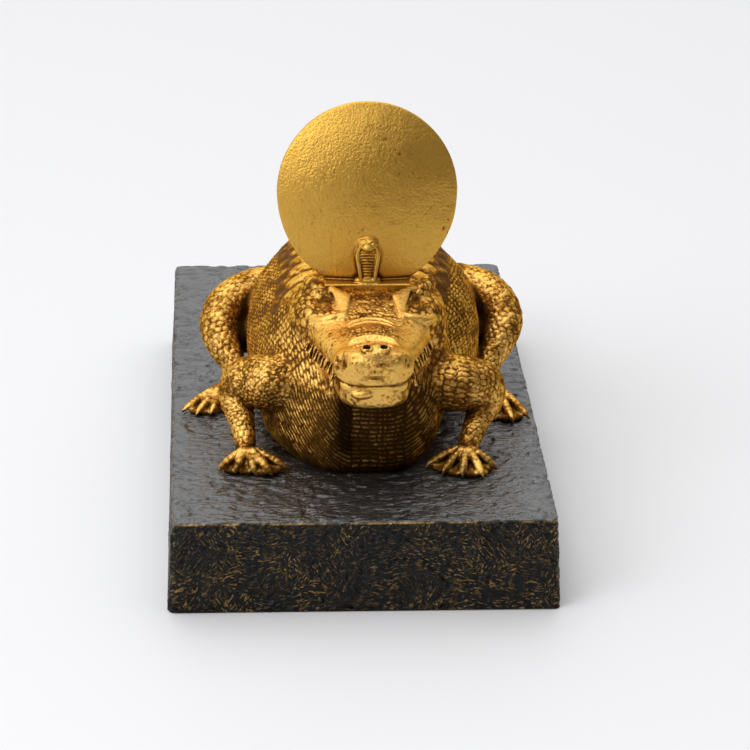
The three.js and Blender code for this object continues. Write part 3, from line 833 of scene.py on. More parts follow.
def dorsal_plates(points):
    """Rows of large keeled plates down the back, each with a raised rear edge."""
    side, half, *_ = body_form.section(points[:, 1])
    reach = np.minimum(half, WIDEST_BACK)
    place = (points[:, 1] + 25) / PLATE_PITCH
    height = np.zeros(len(points), np.float32)
    for share, width in PLATE_ROWS:
        small = width < 0.1
        shifted = place + (0.5 if small else 0.0)
        along = (shifted - np.round(shifted)) * 2
        for sign in (SIDES if share else (RIGHT,)):
            out = (points[:, 0] - side - sign * share * reach) / (width * reach)
            size = np.abs(out) ** 2.6 + np.abs(along * (1.6 if small else 1.07)) ** 2.6
            dome = np.clip(1 - size, 0, 1) ** 0.5
            keel = np.clip(1 - np.abs(out) / 0.28, 0, 1) * np.clip(1 - along ** 2, 0, 1)
            plate = dome * (0.72 + 0.22 * along) + 0.3 * keel * (not small)
            height = np.maximum(height, plate * (0.55 if small else 1.0))
    return height


CREST_PITCH, CREST_HEIGHT = 5.6, 2.8
CRESTS_MEET, CRESTS_SPREAD = 76, 0.11  # where the two become one, and how fast they part ahead of it


def tail_plates(points):
    """Rings of square plates, with two toothed crests that run together into one."""
    angle, around = around_body(points)
    cells = plates(around / 3.4, points[:, 1] / 3.7, jitter=0.16, stagger=0.5, seed=31)
    side = body_form.section(points[:, 1])[0]
    apart = np.maximum(0, (CRESTS_MEET - points[:, 1]) * CRESTS_SPREAD)
    out = np.abs(np.abs(points[:, 0] - side) - apart)
    share = np.mod((points[:, 1] - 42) / CREST_PITCH + 0.3, 1)
    tooth = np.clip(1 - np.abs(share - 0.62) / 0.42, 0, 1)
    crest = np.clip(1 - out / 1.4, 0, 1) ** 0.6 * (0.2 + 0.8 * tooth)
    crest *= smooth_step(0.2, 0.6, np.cos(angle)) * smooth_step(38, 46, points[:, 1])
    return np.maximum(0.5 * bead(cells, 0.24), CREST_HEIGHT * crest)


def flank_beads(points):
    """Grains in slanting rows, longer along the body."""
    _, around = around_body(points)
    drift = 0.9 * (rough(points, 14, 2, 21) - 0.5)
    u = around / 1.2 + 0.1 * points[:, 1]
    v = points[:, 1] / 2.1 + drift - 0.06 * around
    return bead(plates(u, v, jitter=0.4, stagger=0.5, seed=22), 0.42)


def belly_scutes(points):
    _, around = around_body(points)
    return bead(plates(around / 3.6, points[:, 1] / 3.1, jitter=0.12, stagger=0.0, seed=41), 0.2)


def body_relief(points, normals):
    """Height in millimetres, how far the gold covers the paint below, and how dark the chest is coloured by
    dark paint and painted shade.
    """
    angle, _ = around_body(points)
    x, y, z = points.T
    beads, scutes, top = flank_beads(points), belly_scutes(points), dorsal_plates(points)
    tail, chest = tail_plates(points), chest_pattern(points)
    low_down = smooth_step(1.75, 2.1, np.abs(angle))
    # Low on the body the belly's scutes get less gold on their tops than the flank's beads: painted shade for
    # the underside.
    relief = lay((0.36 * beads, 0.15 + 0.7 * beads), (0.3 * scutes, 0.3 + 0.35 * scutes), low_down)
    side, half, *_ = body_form.section(y)
    reach = 0.97 * np.minimum(half, WIDEST_BACK)
    on_back = (1 - smooth_step(reach - 2.4, reach, np.abs(x - side))) * (normals[:, 2] > 0.1)
    on_back = on_back * smooth_step(-36, -31, y) * (1 - smooth_step(52, 64, y))
    relief = lay(relief, (1.25 * top, np.minimum(1.25 * top, 1)), on_back)
    relief = lay(relief, (tail, np.minimum(1.9 * tail, 1)), smooth_step(40, 52, y))
    on_chest = smooth_step(0.42, 0.62, -normals[:, 1]) * (1 - smooth_step(-56, -44, y))
    on_chest = on_chest * (1 - smooth_step(21, 26, z))
    return *lay(relief, (0.46 * chest, chest), on_chest), on_chest * chest_shade(points)


def limb_relief(name, points):
    """Bands of plates round a leg, irregular on the upper arm and square on the thigh."""
    limb = limb_forms[name]
    _, along, angle = limb.measure(points, wanted=True)
    share = along / limb.length
    seed = 50 + 7 * sorted(LEGS).index(name)
    drift = 0.5 * (rough(points, 7, 2, seed) - 0.5)
    turn = angle / (2 * math.pi)
    band, columns = (1.5, 12) if "calf" in LEGS[name] else (1.3, 9)
    if name == "front_left":
        upper = bead(pebbles(points, (1.5, 1.2, 1.1), seed), 0.3)
    elif name == "front_right":
        upper = bead(plates(turn * 29, along / 1.45 + drift, jitter=0.35, stagger=0.5, seed=seed), 0.26)
    else:
        u, v = turn * 24 + 0.3 * drift, along / 1.75 + drift
        upper = bead(plates(u, v, jitter=0.2, stagger=0.3, seed=seed), 0.22)
    u, v = turn * columns, along / band + 0.6 * drift
    lower = bead(plates(u, v, jitter=0.2, stagger=0.5, seed=seed + 3), 0.26)
    wrist = smooth_step(0.6, 0.7, share)
    height = mix(0.31 * upper, 0.36 * lower, wrist)
    # The right foreleg gets less gold than the others: painted shade for the figure's shadowed right side.
    gold = (0.27 if name == "front_right" else 0.36) + 0.48 * mix(upper, lower, wrist)
    wrinkles = smooth_step(0.25, 0.75, noise(points, (1.0, 1.6, 1.2), seed + 5))
    return lay((height, gold), (0.2 * wrinkles, 0.35 + 0.5 * wrinkles), smooth_step(0.93, 1.0, share))


FOLD_PITCH = 1.5


def waves(place):
    """Rounded folds, from 0 between them to 1."""
    return 0.5 + 0.5 * np.cos(2 * math.pi * place / FOLD_PITCH)


def calf_relief(points):
    """Thin upright folds in the skin under the thigh, with little gold: painted shade for the shadow under
    the thigh.
    """
    folds = waves(points[:, 0] + 0.4 * points[:, 2] + rough(points, 5, 2, 85))
    return 0.16 * folds, 0.22 + 0.25 * folds


# Folds of skin across the snout: [along, half width, breadth, height]
FOLDS = (
    (-58.0, 6.8, 0.5, 0.42), (-60.3, 7.2, 0.5, 0.42), (-72.9, 7.2, 1.2, 1.2), (-76.9, 6.0, 0.42, 0.35),
    (-78.8, 5.2, 0.45, 0.4),
)


def snout_folds(x, y):
    """Ridges across the snout, bowed towards the eyes."""
    height = np.zeros(len(x), np.float32)
    for place, half, breadth, proud in FOLDS:
        bow = place - 2.4 * (x / half) ** 2
        within = 1 - smooth_step(0.75, 1.15, np.abs(x) / half)
        height = np.maximum(height, proud * within * np.exp(-((y - bow) / breadth) ** 2))
    return height


def mouth_groove(points):
    """The thin line where the closed jaws meet, round the muzzle."""
    x, y, z = points.T
    line = MOUTH + 0.8 * np.clip(np.abs(x) / 10, 0, 1) ** 2
    return np.exp(-((z - line) / 0.3) ** 2) * (1 - smooth_step(-80, -75, y))


def head_relief(points, normals):
    """Fine bumps on the forehead, plates on the cheeks, and a smooth, slightly pitted snout."""
    x, y, z = points.T
    on_top = smooth_step(0.25, 0.6, normals[:, 2])
    bumps = bead(pebbles(points, (0.95, 1.15, 1.0), 71), 0.4)
    large = bead(pebbles(points, (2.3, 2.6, 2.3), 75), 0.25)
    pits = smooth_step(0.66, 0.8, noise(points, 0.8, 77))
    inner = 1 - smooth_step(6.6, 9.5, np.abs(x - EYES_ASIDE / 2))
    forehead = on_top * smooth_step(-59, -57, y) * inner
    bridge = on_top * smooth_step(-71.5, -70, y) * (1 - smooth_step(-64, -62.4, y)) * inner
    bumpy = np.maximum(forehead, 0.9 * bridge)
    rear = smooth_step(-60, -52, y) * (1 - bumpy)
    patches = smooth_step(0.5, 0.68, rough(points, 5, 2, 79))
    folds = snout_folds(x, y) * smooth_step(0.1, 0.4, normals[:, 2])
    bumpy = bumpy * (1 - smooth_step(0.05, 0.3, folds))
    mouth = mouth_groove(points)
    height = 0.30 * bumpy * bumps + 0.34 * rear * large - 0.11 * pits * (1 - bumpy) * (1 - rear)
    height += folds - 0.4 * mouth
    gold = mix(mix(1.0 - 0.3 * pits - 0.12 * patches, 0.25 + 0.65 * large, rear), 0.5 + 0.55 * bumps, bumpy)
    beside_nose = (1 - smooth_step(-83, -80, y)) * smooth_step(7.4, 8.6, np.abs(x))
    beside_nose = beside_nose * smooth_step(37.4, 38.6, z)
    gold = np.maximum(gold, smooth_step(0.1, 0.4, folds)) - 0.8 * mouth - 0.4 * beside_nose
    for side, (form, cover) in product(SIDES, ((eyeball, 0.5), (brow, 1.0), (lid, 1.0))):
        form = form(side)
        near = points_near(form, points, 1)
        share = 1 - smooth_step(0.15, 0.5, form.distance(points[near]))
        height[near] *= 1 - share
        gold[near] = mix(gold[near], cover, share)
    return height, gold


def toe_relief(leg, points):
    """Gold along the toes' ridges and brown between them, with slight folds across."""
    height, gold = np.zeros((2, len(points)), np.float32)
    best = np.full(len(points), FAR, np.float32)
    for toe in toe_forms[leg]:
        distance, along, _ = toe.measure(points, wanted=True)
        folds = waves(along)
        scaly = 1 - smooth_step(0.72, 0.8, along / toe.length)
        closer = distance < best
        height = np.where(closer, 0.1 * folds * scaly, height)
        gold = np.where(closer, mix(0.8, 0.58 + 0.22 * folds, scaly), gold)
        best = np.minimum(best, distance)
    return best, height, gold * (1 - 0.75 * smooth_step(0.15, 0.8, best))


def crocodile_piece():
    width, depth, _ = PLATFORM
    parts = crocodile_parts() + [
        block([-width / 2 - 0.1, CROWN_FRONT - 0.1, CROWN_SEAT],
              [width / 2 + 0.1, CROWN_FRONT + depth + 0.1, CROWN_SEAT + 30], 0.3, 0.1, cut=True),
        Part(lambda points: points[:, 2] + SUNK, (-99, -199, -99), (99, 199, -SUNK), 0.05, cut=True),
    ]
    grid, points, faces = carve(parts, figure_box - ORIGIN, 2.0, CELL)
    normals = normals_of(points, faces)
    open_share = openness(*grid, points, normals)
    y, z = points[:, 1], points[:, 2]
    *relief, on_chest = body_relief(points, normals)
    relief = np.array(relief)
    body_distance = body_form.distance(points)
    limb_near = body_distance.copy()
    for name, leg in LEGS.items():
        limb = limb_forms[name]
        near = points_near(limb, points, 3.0)
        distance = limb.measure(points[near])
        share = smooth_step(-1.6, 1.6, body_distance[near] - distance)
        relief[:, near] = lay(relief[:, near], limb_relief(name, points[near]), share)
        on_chest[near] *= 1 - share
        limb_near[near] = np.minimum(limb_near[near], distance)
        foot = np.flatnonzero(np.linalg.norm(points - leg["palm"], axis=1) < FOOT_REACH)
        toe_distance, *toes = toe_relief(name, points[foot])
        share = smooth_step(-0.4, 0.6, limb_near[foot] + 0.6 - toe_distance) * (z[foot] < 7)
        relief[:, foot] = lay(relief[:, foot], toes, share)
    for calf in [Limb(leg["calf"]) for leg in LEGS.values() if "calf" in leg]:
        near = points_near(calf, points, 3)
        share = smooth_step(-0.6, 1.0, limb_near[near] - calf.measure(points[near]))
        relief[:, near] = lay(relief[:, near], calf_relief(points[near]), share)
    head_distance = np.minimum(upper_jaw.distance(points), lower_jaw.distance(points))
    on_head = smooth_step(-0.8, 1.2, limb_near - head_distance) * (1 - smooth_step(-33, -28, y))
    height, gold = lay(relief, head_relief(points, normals), on_head)
    on_chest *= 1 - on_head
    height = height * smooth_step(-0.2, 0.5, z) * smooth_step(0.05, 0.5, open_share)
    moved = points + normals * (height - 0.12)[:, None]
    moved[:, 2] = np.where(z < -0.3, z, moved[:, 2])
    keep = np.full(len(points), 0.42, np.float32)
    keep = np.maximum(keep, 0.8 * smooth_step(15, -10, y))
    keep = np.maximum(keep, 1.0 * smooth_step(-44, -54, y) * smooth_step(-1, 2, z))
    keep[normals[:, 2] < -0.7] = 0
    # The chest field carries the chest's dark paint together with painted shade.
    fields = {"gold": gold, "open": open_share, "chest": on_chest}
    return mesh_piece("crocodile_carving", moved + ORIGIN, faces, fields, keep, 196000)


# Crown

def disk_form():
    """A lens, drawn out a little below its centre, with a rounded rim."""
    lean = math.radians(DISK_LEAN)
    forward = np.array([0, -math.cos(lean), math.sin(lean)], np.float32)
    upward = np.array([0, math.sin(lean), math.cos(lean)], np.float32)
    base = np.array([0, CROWN_FRONT + DISK_BASE, CROWN_SEAT + PLATFORM[2]], np.float32)
    radius = DISK_WIDTH / 2
    flat = radius - DISK_RIM / 2

    def distance(points):
        offset = points - base
        front = offset @ forward
        up = offset @ upward - DISK_CENTRE
        up = up / np.where(up > 0, DISK_UPPER, DISK_LOWER) * radius
        out = np.hypot(points[:, 0], up)
        share = np.minimum(out / flat, 1.1)
        faces = []
        for side, dome in ((1, DISK_DOMES[0]), (-1, DISK_DOMES[1])):
            height = DISK_RIM / 2 + dome * (1 - share ** 2)
            faces.append((side * front - height) / np.sqrt(1 + (2 * dome * share / flat) ** 2))
        lens = smooth_max(faces[0], faces[1], 0.3)
        return smooth_max(lens, out - radius, 0.5)

    low = [-radius, CROWN_FRONT - 3, CROWN_SEAT]
    high = [radius, CROWN_FRONT + 18, CROWN_SEAT + 56]
    return Part(distance, low, high, 0.1)


COBRA_WIDER = 1.13  # how much wider the cobra is than its profile's own numbers
RIB_PITCH = 0.86


def cobra_spot(x, forward, up):
    lean = math.tan(math.radians(DISK_LEAN))
    return [COBRA_WIDER * x, CROWN_FRONT + 1.9 + up * lean - forward, CROWN_SEAT + PLATFORM[2] + up]


def cobra_parts():
    """Foot, hood with a band down each side, and a broad flat head."""
    spot, wide = cobra_spot, COBRA_WIDER
    parts = [
        egg(spot(0, -0.1, 0.4), [3.4 * wide, 1.7, 1.5], blend=0.6),
        egg(spot(0, 0.4, 5.4), [2.5 * wide, 1.25, 5.8], tilt=-4, blend=0.7),
        egg(spot(0, 0.7, 8.2), [3.0 * wide, 1.2, 3.4], tilt=-4, blend=0.8),
        egg(spot(0, 1.0, 11.2), [2.7 * wide, 2.1, 2.0], tilt=10, blend=0.6),
        egg(spot(0, 2.2, 10.6), [1.6 * wide, 1.5, 1.1], tilt=14, blend=0.5),
    ]

    def band(side, *stations):
        return Limb([[*spot(side * x, y, z), radius] for x, y, z, radius in stations]).part(0.2)

    for side in SIDES:
        parts += [
            band(side, (1.7, 1.0, 0.6, 0.5), (2.15, 1.45, 4.5, 0.6), (2.65, 1.55, 8.2, 0.62),
                 (2.0, 2.1, 10.6, 0.45)),
            egg(spot(side * 1.35, 2.7, 11.6), [0.55, 0.5, 0.45], blend=0.2),
            band(side, (2.4, 1.2, 12.2, 0.3), (1.2, 2.3, 12.6, 0.35), (0, 2.9, 11.9, 0.3)),
        ]
    return parts


def cobra_ribs(points, normals):
    """Scutes across the front of the hood, between its side bands, bowed down a little."""
    x, _, z = points.T
    up = z - CROWN_SEAT - PLATFORM[2]
    half = COBRA_WIDER * (1.35 + 0.1 * up)
    phase = (up + 0.2 * (x / half) ** 2 - 1.2) / RIB_PITCH
    rib = 0.5 - 0.5 * np.cos(2 * math.pi * phase)
    front = smooth_step(0.2, 0.6, -normals[:, 1]) * (1 - smooth_step(0.8, 1.0, np.abs(x) / half))
    return rib, front * smooth_step(1.0, 1.4, up) * (1 - smooth_step(8.6, 9.2, up))


def cut_below(height, distance):
    """Takes away what the crown's forms have below a height."""
    return Part(distance, (-40, -60, 0), (40, -20, height), 0.05, cut=True)


def crown_piece():
    width, depth, height = PLATFORM
    top = CROWN_SEAT + height
    platform = block([-width / 2, CROWN_FRONT, CROWN_SEAT - 2], [width / 2, CROWN_FRONT + depth, top],
                     0.55, 0.6)
    disk = disk_form()
    parts = [disk, cut_below(top - 0.8, lambda points: points[:, 2] - top + 0.8), platform, *cobra_parts(),
             cut_below(CROWN_SEAT, lambda points: points[:, 2] - CROWN_SEAT)]
    grid, points, faces = carve(parts, crown_box - ORIGIN, 1.0, 0.21)
    # The surface's points, drawn onto the true surface
    step = 0.1
    for _ in range(2):
        slope = np.stack([join_parts(parts, points + way) - join_parts(parts, points - way)
                          for way in step * np.eye(3, dtype=np.float32)], 1) / (2 * step)
        size = np.maximum((slope ** 2).sum(1), 0.25)
        points = points - (0.9 * np.clip(join_parts(parts, points), -0.1, 0.1) / size)[:, None] * slope
    normals = normals_of(points, faces)
    on_disk = 1 - smooth_step(0.05, 0.4, disk.distance(points))
    on_disk = on_disk * smooth_step(top + 0.2, top + 1.5, points[:, 2])
    uneven = rough(points, 7, 3, 91) - 0.6
    pits = smooth_step(0.82, 0.9, noise(points, 1.3, 95)) * smooth_step(0.6, 0.8, noise(points, 9, 96))
    rib, on_ribs = cobra_ribs(points, normals)
    relief = on_disk * np.minimum(0.26 * uneven - 0.08 * pits, 0.0) - 0.34 * on_ribs * (1 - rib)
    fields = {"gold": 1 - 0.55 * pits * on_disk - 0.7 * on_ribs * (1 - rib),
              "open": openness(*grid, points, normals), "chest": np.zeros(len(points))}
    place = points + normals * relief[:, None] + ORIGIN
    keep = mix(1.0, 0.15, on_disk)
    return mesh_piece("crown_carving", place, faces, fields, keep, 110000)


# Plinth

TAPER = 1.3  # how much narrower the plinth is at its top, at each side
EDGE_RADIUS, CORNER_RADIUS = 1.2, 1.4


def plinth_distance(points):
    """A tapered slab with rounded edges and corners."""
    over = np.abs(points)
    over[:, :2] -= plinth_box[1, :2].astype(np.float32) - TAPER * points[:, 2:] / PLINTH_TOP - EDGE_RADIUS
    over[:, 2] = np.abs(points[:, 2] - PLINTH_TOP / 2) - (PLINTH_TOP / 2 - EDGE_RADIUS)
    corner = np.hypot(*np.maximum(over[:, :2] + CORNER_RADIUS, 0).T) - CORNER_RADIUS
    flat = np.maximum(over[:, :2].max(1), corner)
    outside = np.hypot(np.maximum(flat, 0), np.maximum(over[:, 2], 0))
    return outside + np.minimum(np.maximum(flat, over[:, 2]), 0) - EDGE_RADIUS


def plinth_piece():
    """A slab with chiselled sides and a pitted top, all cut inwards from its outline."""
    part = Part(plinth_distance, *plinth_box, 0.1)
    _, points, faces = carve([part], plinth_box, 1.5, 0.55)
    normals = normals_of(points, faces)
    z = points[:, 2]
    up = smooth_step(0.5, 0.8, normals[:, 2])
    side = 1 - smooth_step(0.5, 0.8, np.abs(normals[:, 2]))
    # Top: small shallow dimples, longer across, in a slightly wavy surface
    swell = rough(points, (26, 14, 20), 2, 101)
    dimple = smooth_step(0.5, 0.75, rough(points, (3.2, 2.0, 4), 2, 104))
    top_depth = 0.15 * swell + 0.45 * dimple + 0.35 * rough(points, (1.8, 1.2, 1.6), 2, 108)
    # Sides: long facets struck at changing slants, with sharp ridges between them
    sway = 2.4 * (noise(points, (24, 24, 40), 109) - 0.5)
    slant = points.copy()
    slant[:, :2] += (sway * z * 0.6)[:, None]
    ridge_gap, _, number = pebbles(slant, (3.4, 3.4, 6.5), 111)
    fine_gap, _, fine_number = pebbles(slant, (1.3, 1.3, 2.4), 117)
    side_depth = 0.1 + 0.7 * smooth_step(0.0, 0.45, ridge_gap) * (0.3 + 0.7 * number)
    side_depth = side_depth + 0.4 * (smooth_step(0.0, 0.4, fine_gap) * fine_number)
    wavy = 0.5 * rough(points, (11, 11, 30), 3, 121)
    nick = smooth_step(0.45, 0.7, rough(points, (2.4, 2.4, 9), 2, 133))
    depth = up * top_depth + side * (side_depth + wavy) + (1 - up) * (1 - side) * (0.15 + 0.6 * nick)
    depth = np.where(normals[:, 2] < -0.6, 0.0, depth)
    keep = np.full(len(points), 0.7, np.float32)
    keep[z < 0.3] = 0
    keep = np.maximum(keep, smooth_step(0.6, 0.95, -normals[:, 1]))
    edge_wear = 1 - smooth_step(0.4, 1.3, PLINTH_TOP - z)
    worn_edge = edge_wear * (1 - up) * smooth_step(0.4, 0.6, rough(points, (3, 3, 8), 2, 131))
    fields = {"gold": side * np.clip(1.1 - side_depth, 0, 1), "open": worn_edge, "top": up}
    place = points - normals * depth[:, None]
    return mesh_piece("plinth_carving", place, faces, fields, keep, 190000)


# Materials

# Nearly black for the chest: its dark paint together with painted shade.
CHEST_DARK_PAINT_AND_SHADE = (0.009, 0.004, 0.0015)
UPRIGHT, LYING = (2.6, 2.6, 0.6), (0.6, 0.6, 2.6)  # how the plinth's strokes are stretched


class Nodes:
    """A short way to write the nodes of a material or a world."""

    def __init__(self, owner, shader="Principled BSDF"):
        self.owner = owner
        owner.use_nodes = True
        self.tree = owner.node_tree
        self.shader = self.tree.nodes[shader].inputs

    def link(self, source, target):
        if isinstance(source, bpy.types.NodeSocket):
            self.tree.links.new(source, target)
        else:
            target.default_value = source

    def add(self, kind, output=0, settings=None, **inputs):
        node = self.tree.nodes.new(kind)
        for key, value in (settings or {}).items():
            setattr(node, key, value)
        for key, value in inputs.items():
            slot = int(key[1:]) if key[0] == "i" and key[1:].isdigit() else key.replace("_", " ")
            self.link(value, node.inputs[slot])
        return node.outputs[output]

    def field(self, name):
        return self.add("ShaderNodeAttribute", "Fac", {"attribute_name": name})

    def math(self, operation, a, b=0.0, clamp=False):
        return self.add("ShaderNodeMath", 0, {"operation": operation, "use_clamp": clamp}, i0=a, i1=b)

    def plus(self, a, b):
        return self.math("ADD", a, b)

    def times(self, a, b):
        return self.math("MULTIPLY", a, b)

    def ramp(self, value, start, end, low=0.0, high=1.0):
        return self.add("ShaderNodeMapRange", 0, {"interpolation_type": "SMOOTHSTEP"},
                        i0=value, i1=start, i2=end, i3=low, i4=high)

    def colours(self, share, first, second):
        first, second = [(*colour, 1) if isinstance(colour, tuple) else colour for colour in (first, second)]
        return self.add("ShaderNodeMix", 2, {"data_type": "RGBA"}, i0=share, i6=first, i7=second)

    def noise(self, size, detail=2.0, stretch=(1, 1, 1), roughness=0.5, turn=0.0):
        """Noise with features of a size in metres, turned about Y by an angle in degrees."""
        place = self.add("ShaderNodeTexCoord", "Object")
        if turn:
            place = self.add("ShaderNodeMapping", 0, None, Vector=place, Rotation=(0, math.radians(turn), 0))
        scaled = self.add("ShaderNodeVectorMath", 0, {"operation": "MULTIPLY"}, i0=place, i1=stretch)
        return self.add("ShaderNodeTexNoise", 0, None, Vector=scaled, Scale=1 / size, Detail=detail,
                        Roughness=roughness)

    def bump(self, height, distance, strength=1.0, normal=None):
        inputs = {"Strength": strength, "Distance": distance, "Height": height}
        if normal is not None:
            inputs["Normal"] = normal
        return self.add("ShaderNodeBump", 0, None, **inputs)


def gold_paint(name, gold, glaze, roughness, brush, wear):
    """Gold rubbed over a brown glaze, which stays in the grooves, and dimmed to nearly black over the chest
    by dark paint and painted shade.
    """
    nodes = Nodes(bpy.data.materials.new(name))
    speckle = nodes.noise(0.0007, 3)
    patches, blotches = [
        nodes.ramp(nodes.noise(size, 3), 0.3, 0.7, -wear, 0.6 * wear) for size in (0.006, 0.0018)]
    raised = nodes.plus(nodes.field("gold"), nodes.plus(patches, blotches))
    raised = nodes.plus(raised, nodes.ramp(speckle, 0.3, 0.7, -0.14, 0.1))
    clear = nodes.ramp(nodes.field("open"), 0.1, 0.9)
    cover = nodes.times(nodes.ramp(raised, 0.1, 0.95), clear)
    lower = nodes.colours(nodes.ramp(cover, 0.0, 0.45), tuple(0.3 * np.array(glaze)), glaze)
    colour = nodes.colours(nodes.ramp(cover, 0.3, 1.0), lower, gold)
    # Over the chest the colour goes towards nearly black: dark paint and painted shade.
    dim = nodes.math("MULTIPLY", nodes.field("chest"), 0.88, clamp=True)
    nodes.link(nodes.colours(dim, colour, CHEST_DARK_PAINT_AND_SHADE), nodes.shader["Base Color"])
    nodes.link(nodes.ramp(cover, 0.0, 0.4, 0.7, 0.97), nodes.shader["Metallic"])
    matt = nodes.plus(speckle, nodes.times(cover, -0.3))
    nodes.link(nodes.ramp(matt, 0.0, 0.9, roughness - 0.05, roughness + 0.14), nodes.shader["Roughness"])
    nodes.shader["Specular IOR Level"].default_value = 0.25
    nodes.shader["Specular Tint"].default_value = (0.8, 0.5, 0.2, 1)
    grain = nodes.bump(speckle, 0.0003, 0.4 + 1.5 * wear)
    nodes.link(nodes.bump(nodes.noise(0.0012, 4, brush), 0.0002, 3 * wear, grain), nodes.shader["Normal"])
    return nodes.owner


def black_stone():
    """Satin black-blue paint, lighter and greyer on the top as a partly painted sheen, with thin broken lines
    of bronze on the chiselled sides.
    """
    nodes = Nodes(bpy.data.materials.new("black_paint_over_stone"))
    side = nodes.math("SUBTRACT", 1.0, nodes.field("top"))
    patches = nodes.noise(0.012, 4)
    broken = nodes.ramp(nodes.noise(0.0022, 2), 0.46, 0.58)

    def strokes(stretch, turn):
        """Short thin strokes where a stretched noise is high."""
        return nodes.ramp(nodes.noise(0.0011, 2, stretch, 0.5, turn), 0.575, 0.635)

    def either(size, one, other):
        """One or the other, by patches of a size."""
        share = nodes.ramp(nodes.noise(size, 1), 0.45, 0.55)
        return nodes.plus(nodes.times(one, share), nodes.times(other, nodes.math("SUBTRACT", 1.0, share)))

    lines = either(0.014, either(0.009, strokes(UPRIGHT, 35), strokes(UPRIGHT, -30)),
                   either(0.010, strokes(LYING, 18), strokes(LYING, -12)))
    ridges = nodes.ramp(nodes.field("gold"), 0.85, 1.08, 0.0, 0.4)
    where = nodes.ramp(nodes.noise(0.008, 2), 0.35, 0.65, 0.25, 1.0)
    rubbed = nodes.math("MAXIMUM", lines, nodes.times(ridges, broken))
    rubbed = nodes.times(nodes.times(rubbed, where), side)
    bronze = nodes.math("MAXIMUM", rubbed, nodes.field("open"), clamp=True)
    side_paint = nodes.colours(patches, (0.009, 0.011, 0.013), (0.017, 0.017, 0.016))
    # The top's paint runs lighter and warmer than the sides': partly a painted sheen for the room's
    # reflection.
    top_paint_and_sheen = nodes.colours(patches, (0.009, 0.009, 0.009), (0.024, 0.022, 0.019))
    metal = nodes.colours(nodes.field("open"), (0.34, 0.205, 0.06), (0.7, 0.45, 0.16))
    paint = nodes.colours(side, top_paint_and_sheen, side_paint)
    nodes.link(nodes.colours(bronze, paint, metal), nodes.shader["Base Color"])
    # The sides' paint has a metal's faint reflection, so that only the top mirrors the room
    nodes.link(nodes.times(side, 0.9), nodes.shader["Metallic"])
    gloss = nodes.plus(nodes.ramp(patches, 0.3, 0.7, 0.17, 0.27), nodes.times(side, 0.15))
    nodes.link(nodes.plus(gloss, nodes.times(bronze, 0.1)), nodes.shader["Roughness"])
    nodes.shader["Specular IOR Level"].default_value = 1.0
    scratches = nodes.bump(nodes.noise(0.0016, 3, (0.5, 1.3, 1)), 0.0009, 0.9)
    nodes.link(nodes.bump(lines, 0.0002, 0.5, scratches), nodes.shader["Normal"])
    return nodes.owner


# Studio

BRIGHT_WAY = (-0.33, 0.5, 0.8)  # the room is brightest above, behind and a little to the left
BRIGHT_FROM, BRIGHT_TO = -0.1, 0.75  # how far a direction leans that way where the light starts and is full
DARK_ROOM = (0.10, 0.07, 0.045)
BRIGHT_ROOM = (1.12, 1.125, 1.135)
LAMP_COLOUR = (0.97, 0.985, 1.02)
LIT = (0, 0, 0.06)  # where every lamp points
LAMPS = {  # place, size and power
    "key": ((-0.95, -0.8, 0.85), 0.8, 7.0),
    "fill": ((1.05, -0.8, 0.7), 0.6, 0.3),
    "front_top": ((-0.2, -1.2, 1.15), 0.45, 2.0),
    "top": ((-0.3, -0.1, 1.4), 0.6, 3.0),
    "overhead": ((-0.1, 1.1, 1.5), 1.2, 5.5),
}


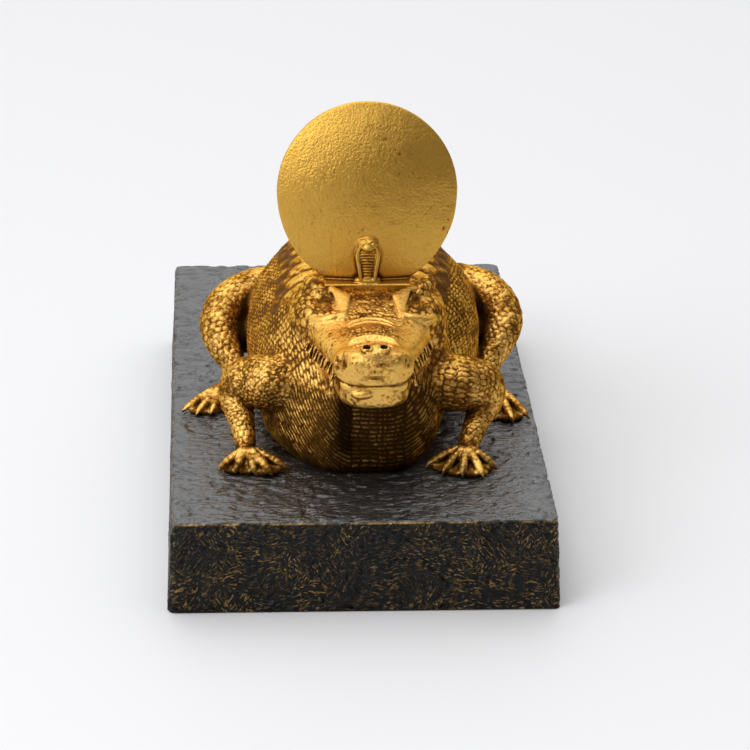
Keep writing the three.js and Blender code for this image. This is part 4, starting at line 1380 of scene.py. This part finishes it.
def studio():
    scene = bpy.context.scene
    scene.view_settings.view_transform = "Standard"
    bpy.ops.mesh.primitive_plane_add(size=8, location=(0, 1.5, 0))
    floor = bpy.context.object
    floor.name = "studio_floor"
    pale = Nodes(bpy.data.materials.new("pale_floor"))
    paint = {"Base Color": (0.72, 0.72, 0.725, 1), "Roughness": 0.6, "Specular IOR Level": 0.2}
    for socket, value in paint.items():
        pale.shader[socket].default_value = value
    floor.data.materials.append(pale.owner)

    # Bright above and behind, and a dark warm room behind the camera
    room = Nodes(bpy.data.worlds.new("studio"), "Background")
    lean = room.add("ShaderNodeVectorMath", "Value", {"operation": "DOT_PRODUCT"},
                    i0=room.add("ShaderNodeTexCoord", "Generated"), i1=BRIGHT_WAY)
    fade = room.ramp(lean, BRIGHT_FROM, BRIGHT_TO)
    room.link(room.colours(fade, DARK_ROOM, BRIGHT_ROOM), room.shader["Color"])
    scene.world = room.owner

    for name, (place, size, power) in LAMPS.items():
        light = bpy.data.lights.new(name, "AREA")
        light.energy, light.size, light.color = power, size, LAMP_COLOUR
        lamp = bpy.data.objects.new(name, light)
        lamp.location = place
        lamp.rotation_euler = (Vector(LIT) - Vector(place)).to_track_quat("-Z", "Y").to_euler()
        scene.collection.objects.link(lamp)


def camera():
    """The photograph's view: a long lens, a little to the left of the plinth and well above it."""
    place = Vector((-42.98, -908.06, 408.57)) * MM
    yaw, pitch, roll = -0.0556713, 0.395285, 0.0138111
    focal_pixels, image_pixels, sensor = 3225.86, 750, 36.0
    forward = Vector((-math.sin(yaw) * math.cos(pitch), math.cos(yaw) * math.cos(pitch), -math.sin(pitch)))
    right = Vector((math.cos(yaw), math.sin(yaw), 0))
    up = right.cross(forward)
    right, up = (math.cos(roll) * right + math.sin(roll) * up, math.cos(roll) * up - math.sin(roll) * right)
    lens = bpy.data.cameras.new("camera")
    lens.sensor_width = sensor
    lens.lens = focal_pixels / image_pixels * sensor
    view = bpy.data.objects.new("camera", lens)
    view.matrix_world = Matrix((*zip(right, up, -forward, place), (0, 0, 0, 1)))
    bpy.context.scene.collection.objects.link(view)
    bpy.context.scene.camera = view


camera()
studio()

figure = crocodile_piece()
figure.data.materials.append(gold_paint(
    "gold_paint_on_crocodile", (0.82, 0.49, 0.12), (0.36, 0.16, 0.026), 0.40, (1, 1, 1), 0.2))
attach(figure, "root")
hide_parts("crocodile")

crown = crown_piece()
crown.data.materials.append(gold_paint(
    "gold_paint_on_crown", (0.67, 0.39, 0.07), (0.36, 0.155, 0.02), 0.42, (1, 1, 0.4), 0.12))
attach(crown, "root")
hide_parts("sun_disk_crown")

plinth = plinth_piece()
plinth.data.materials.append(black_stone())
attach(plinth, "root")
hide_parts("plinth")
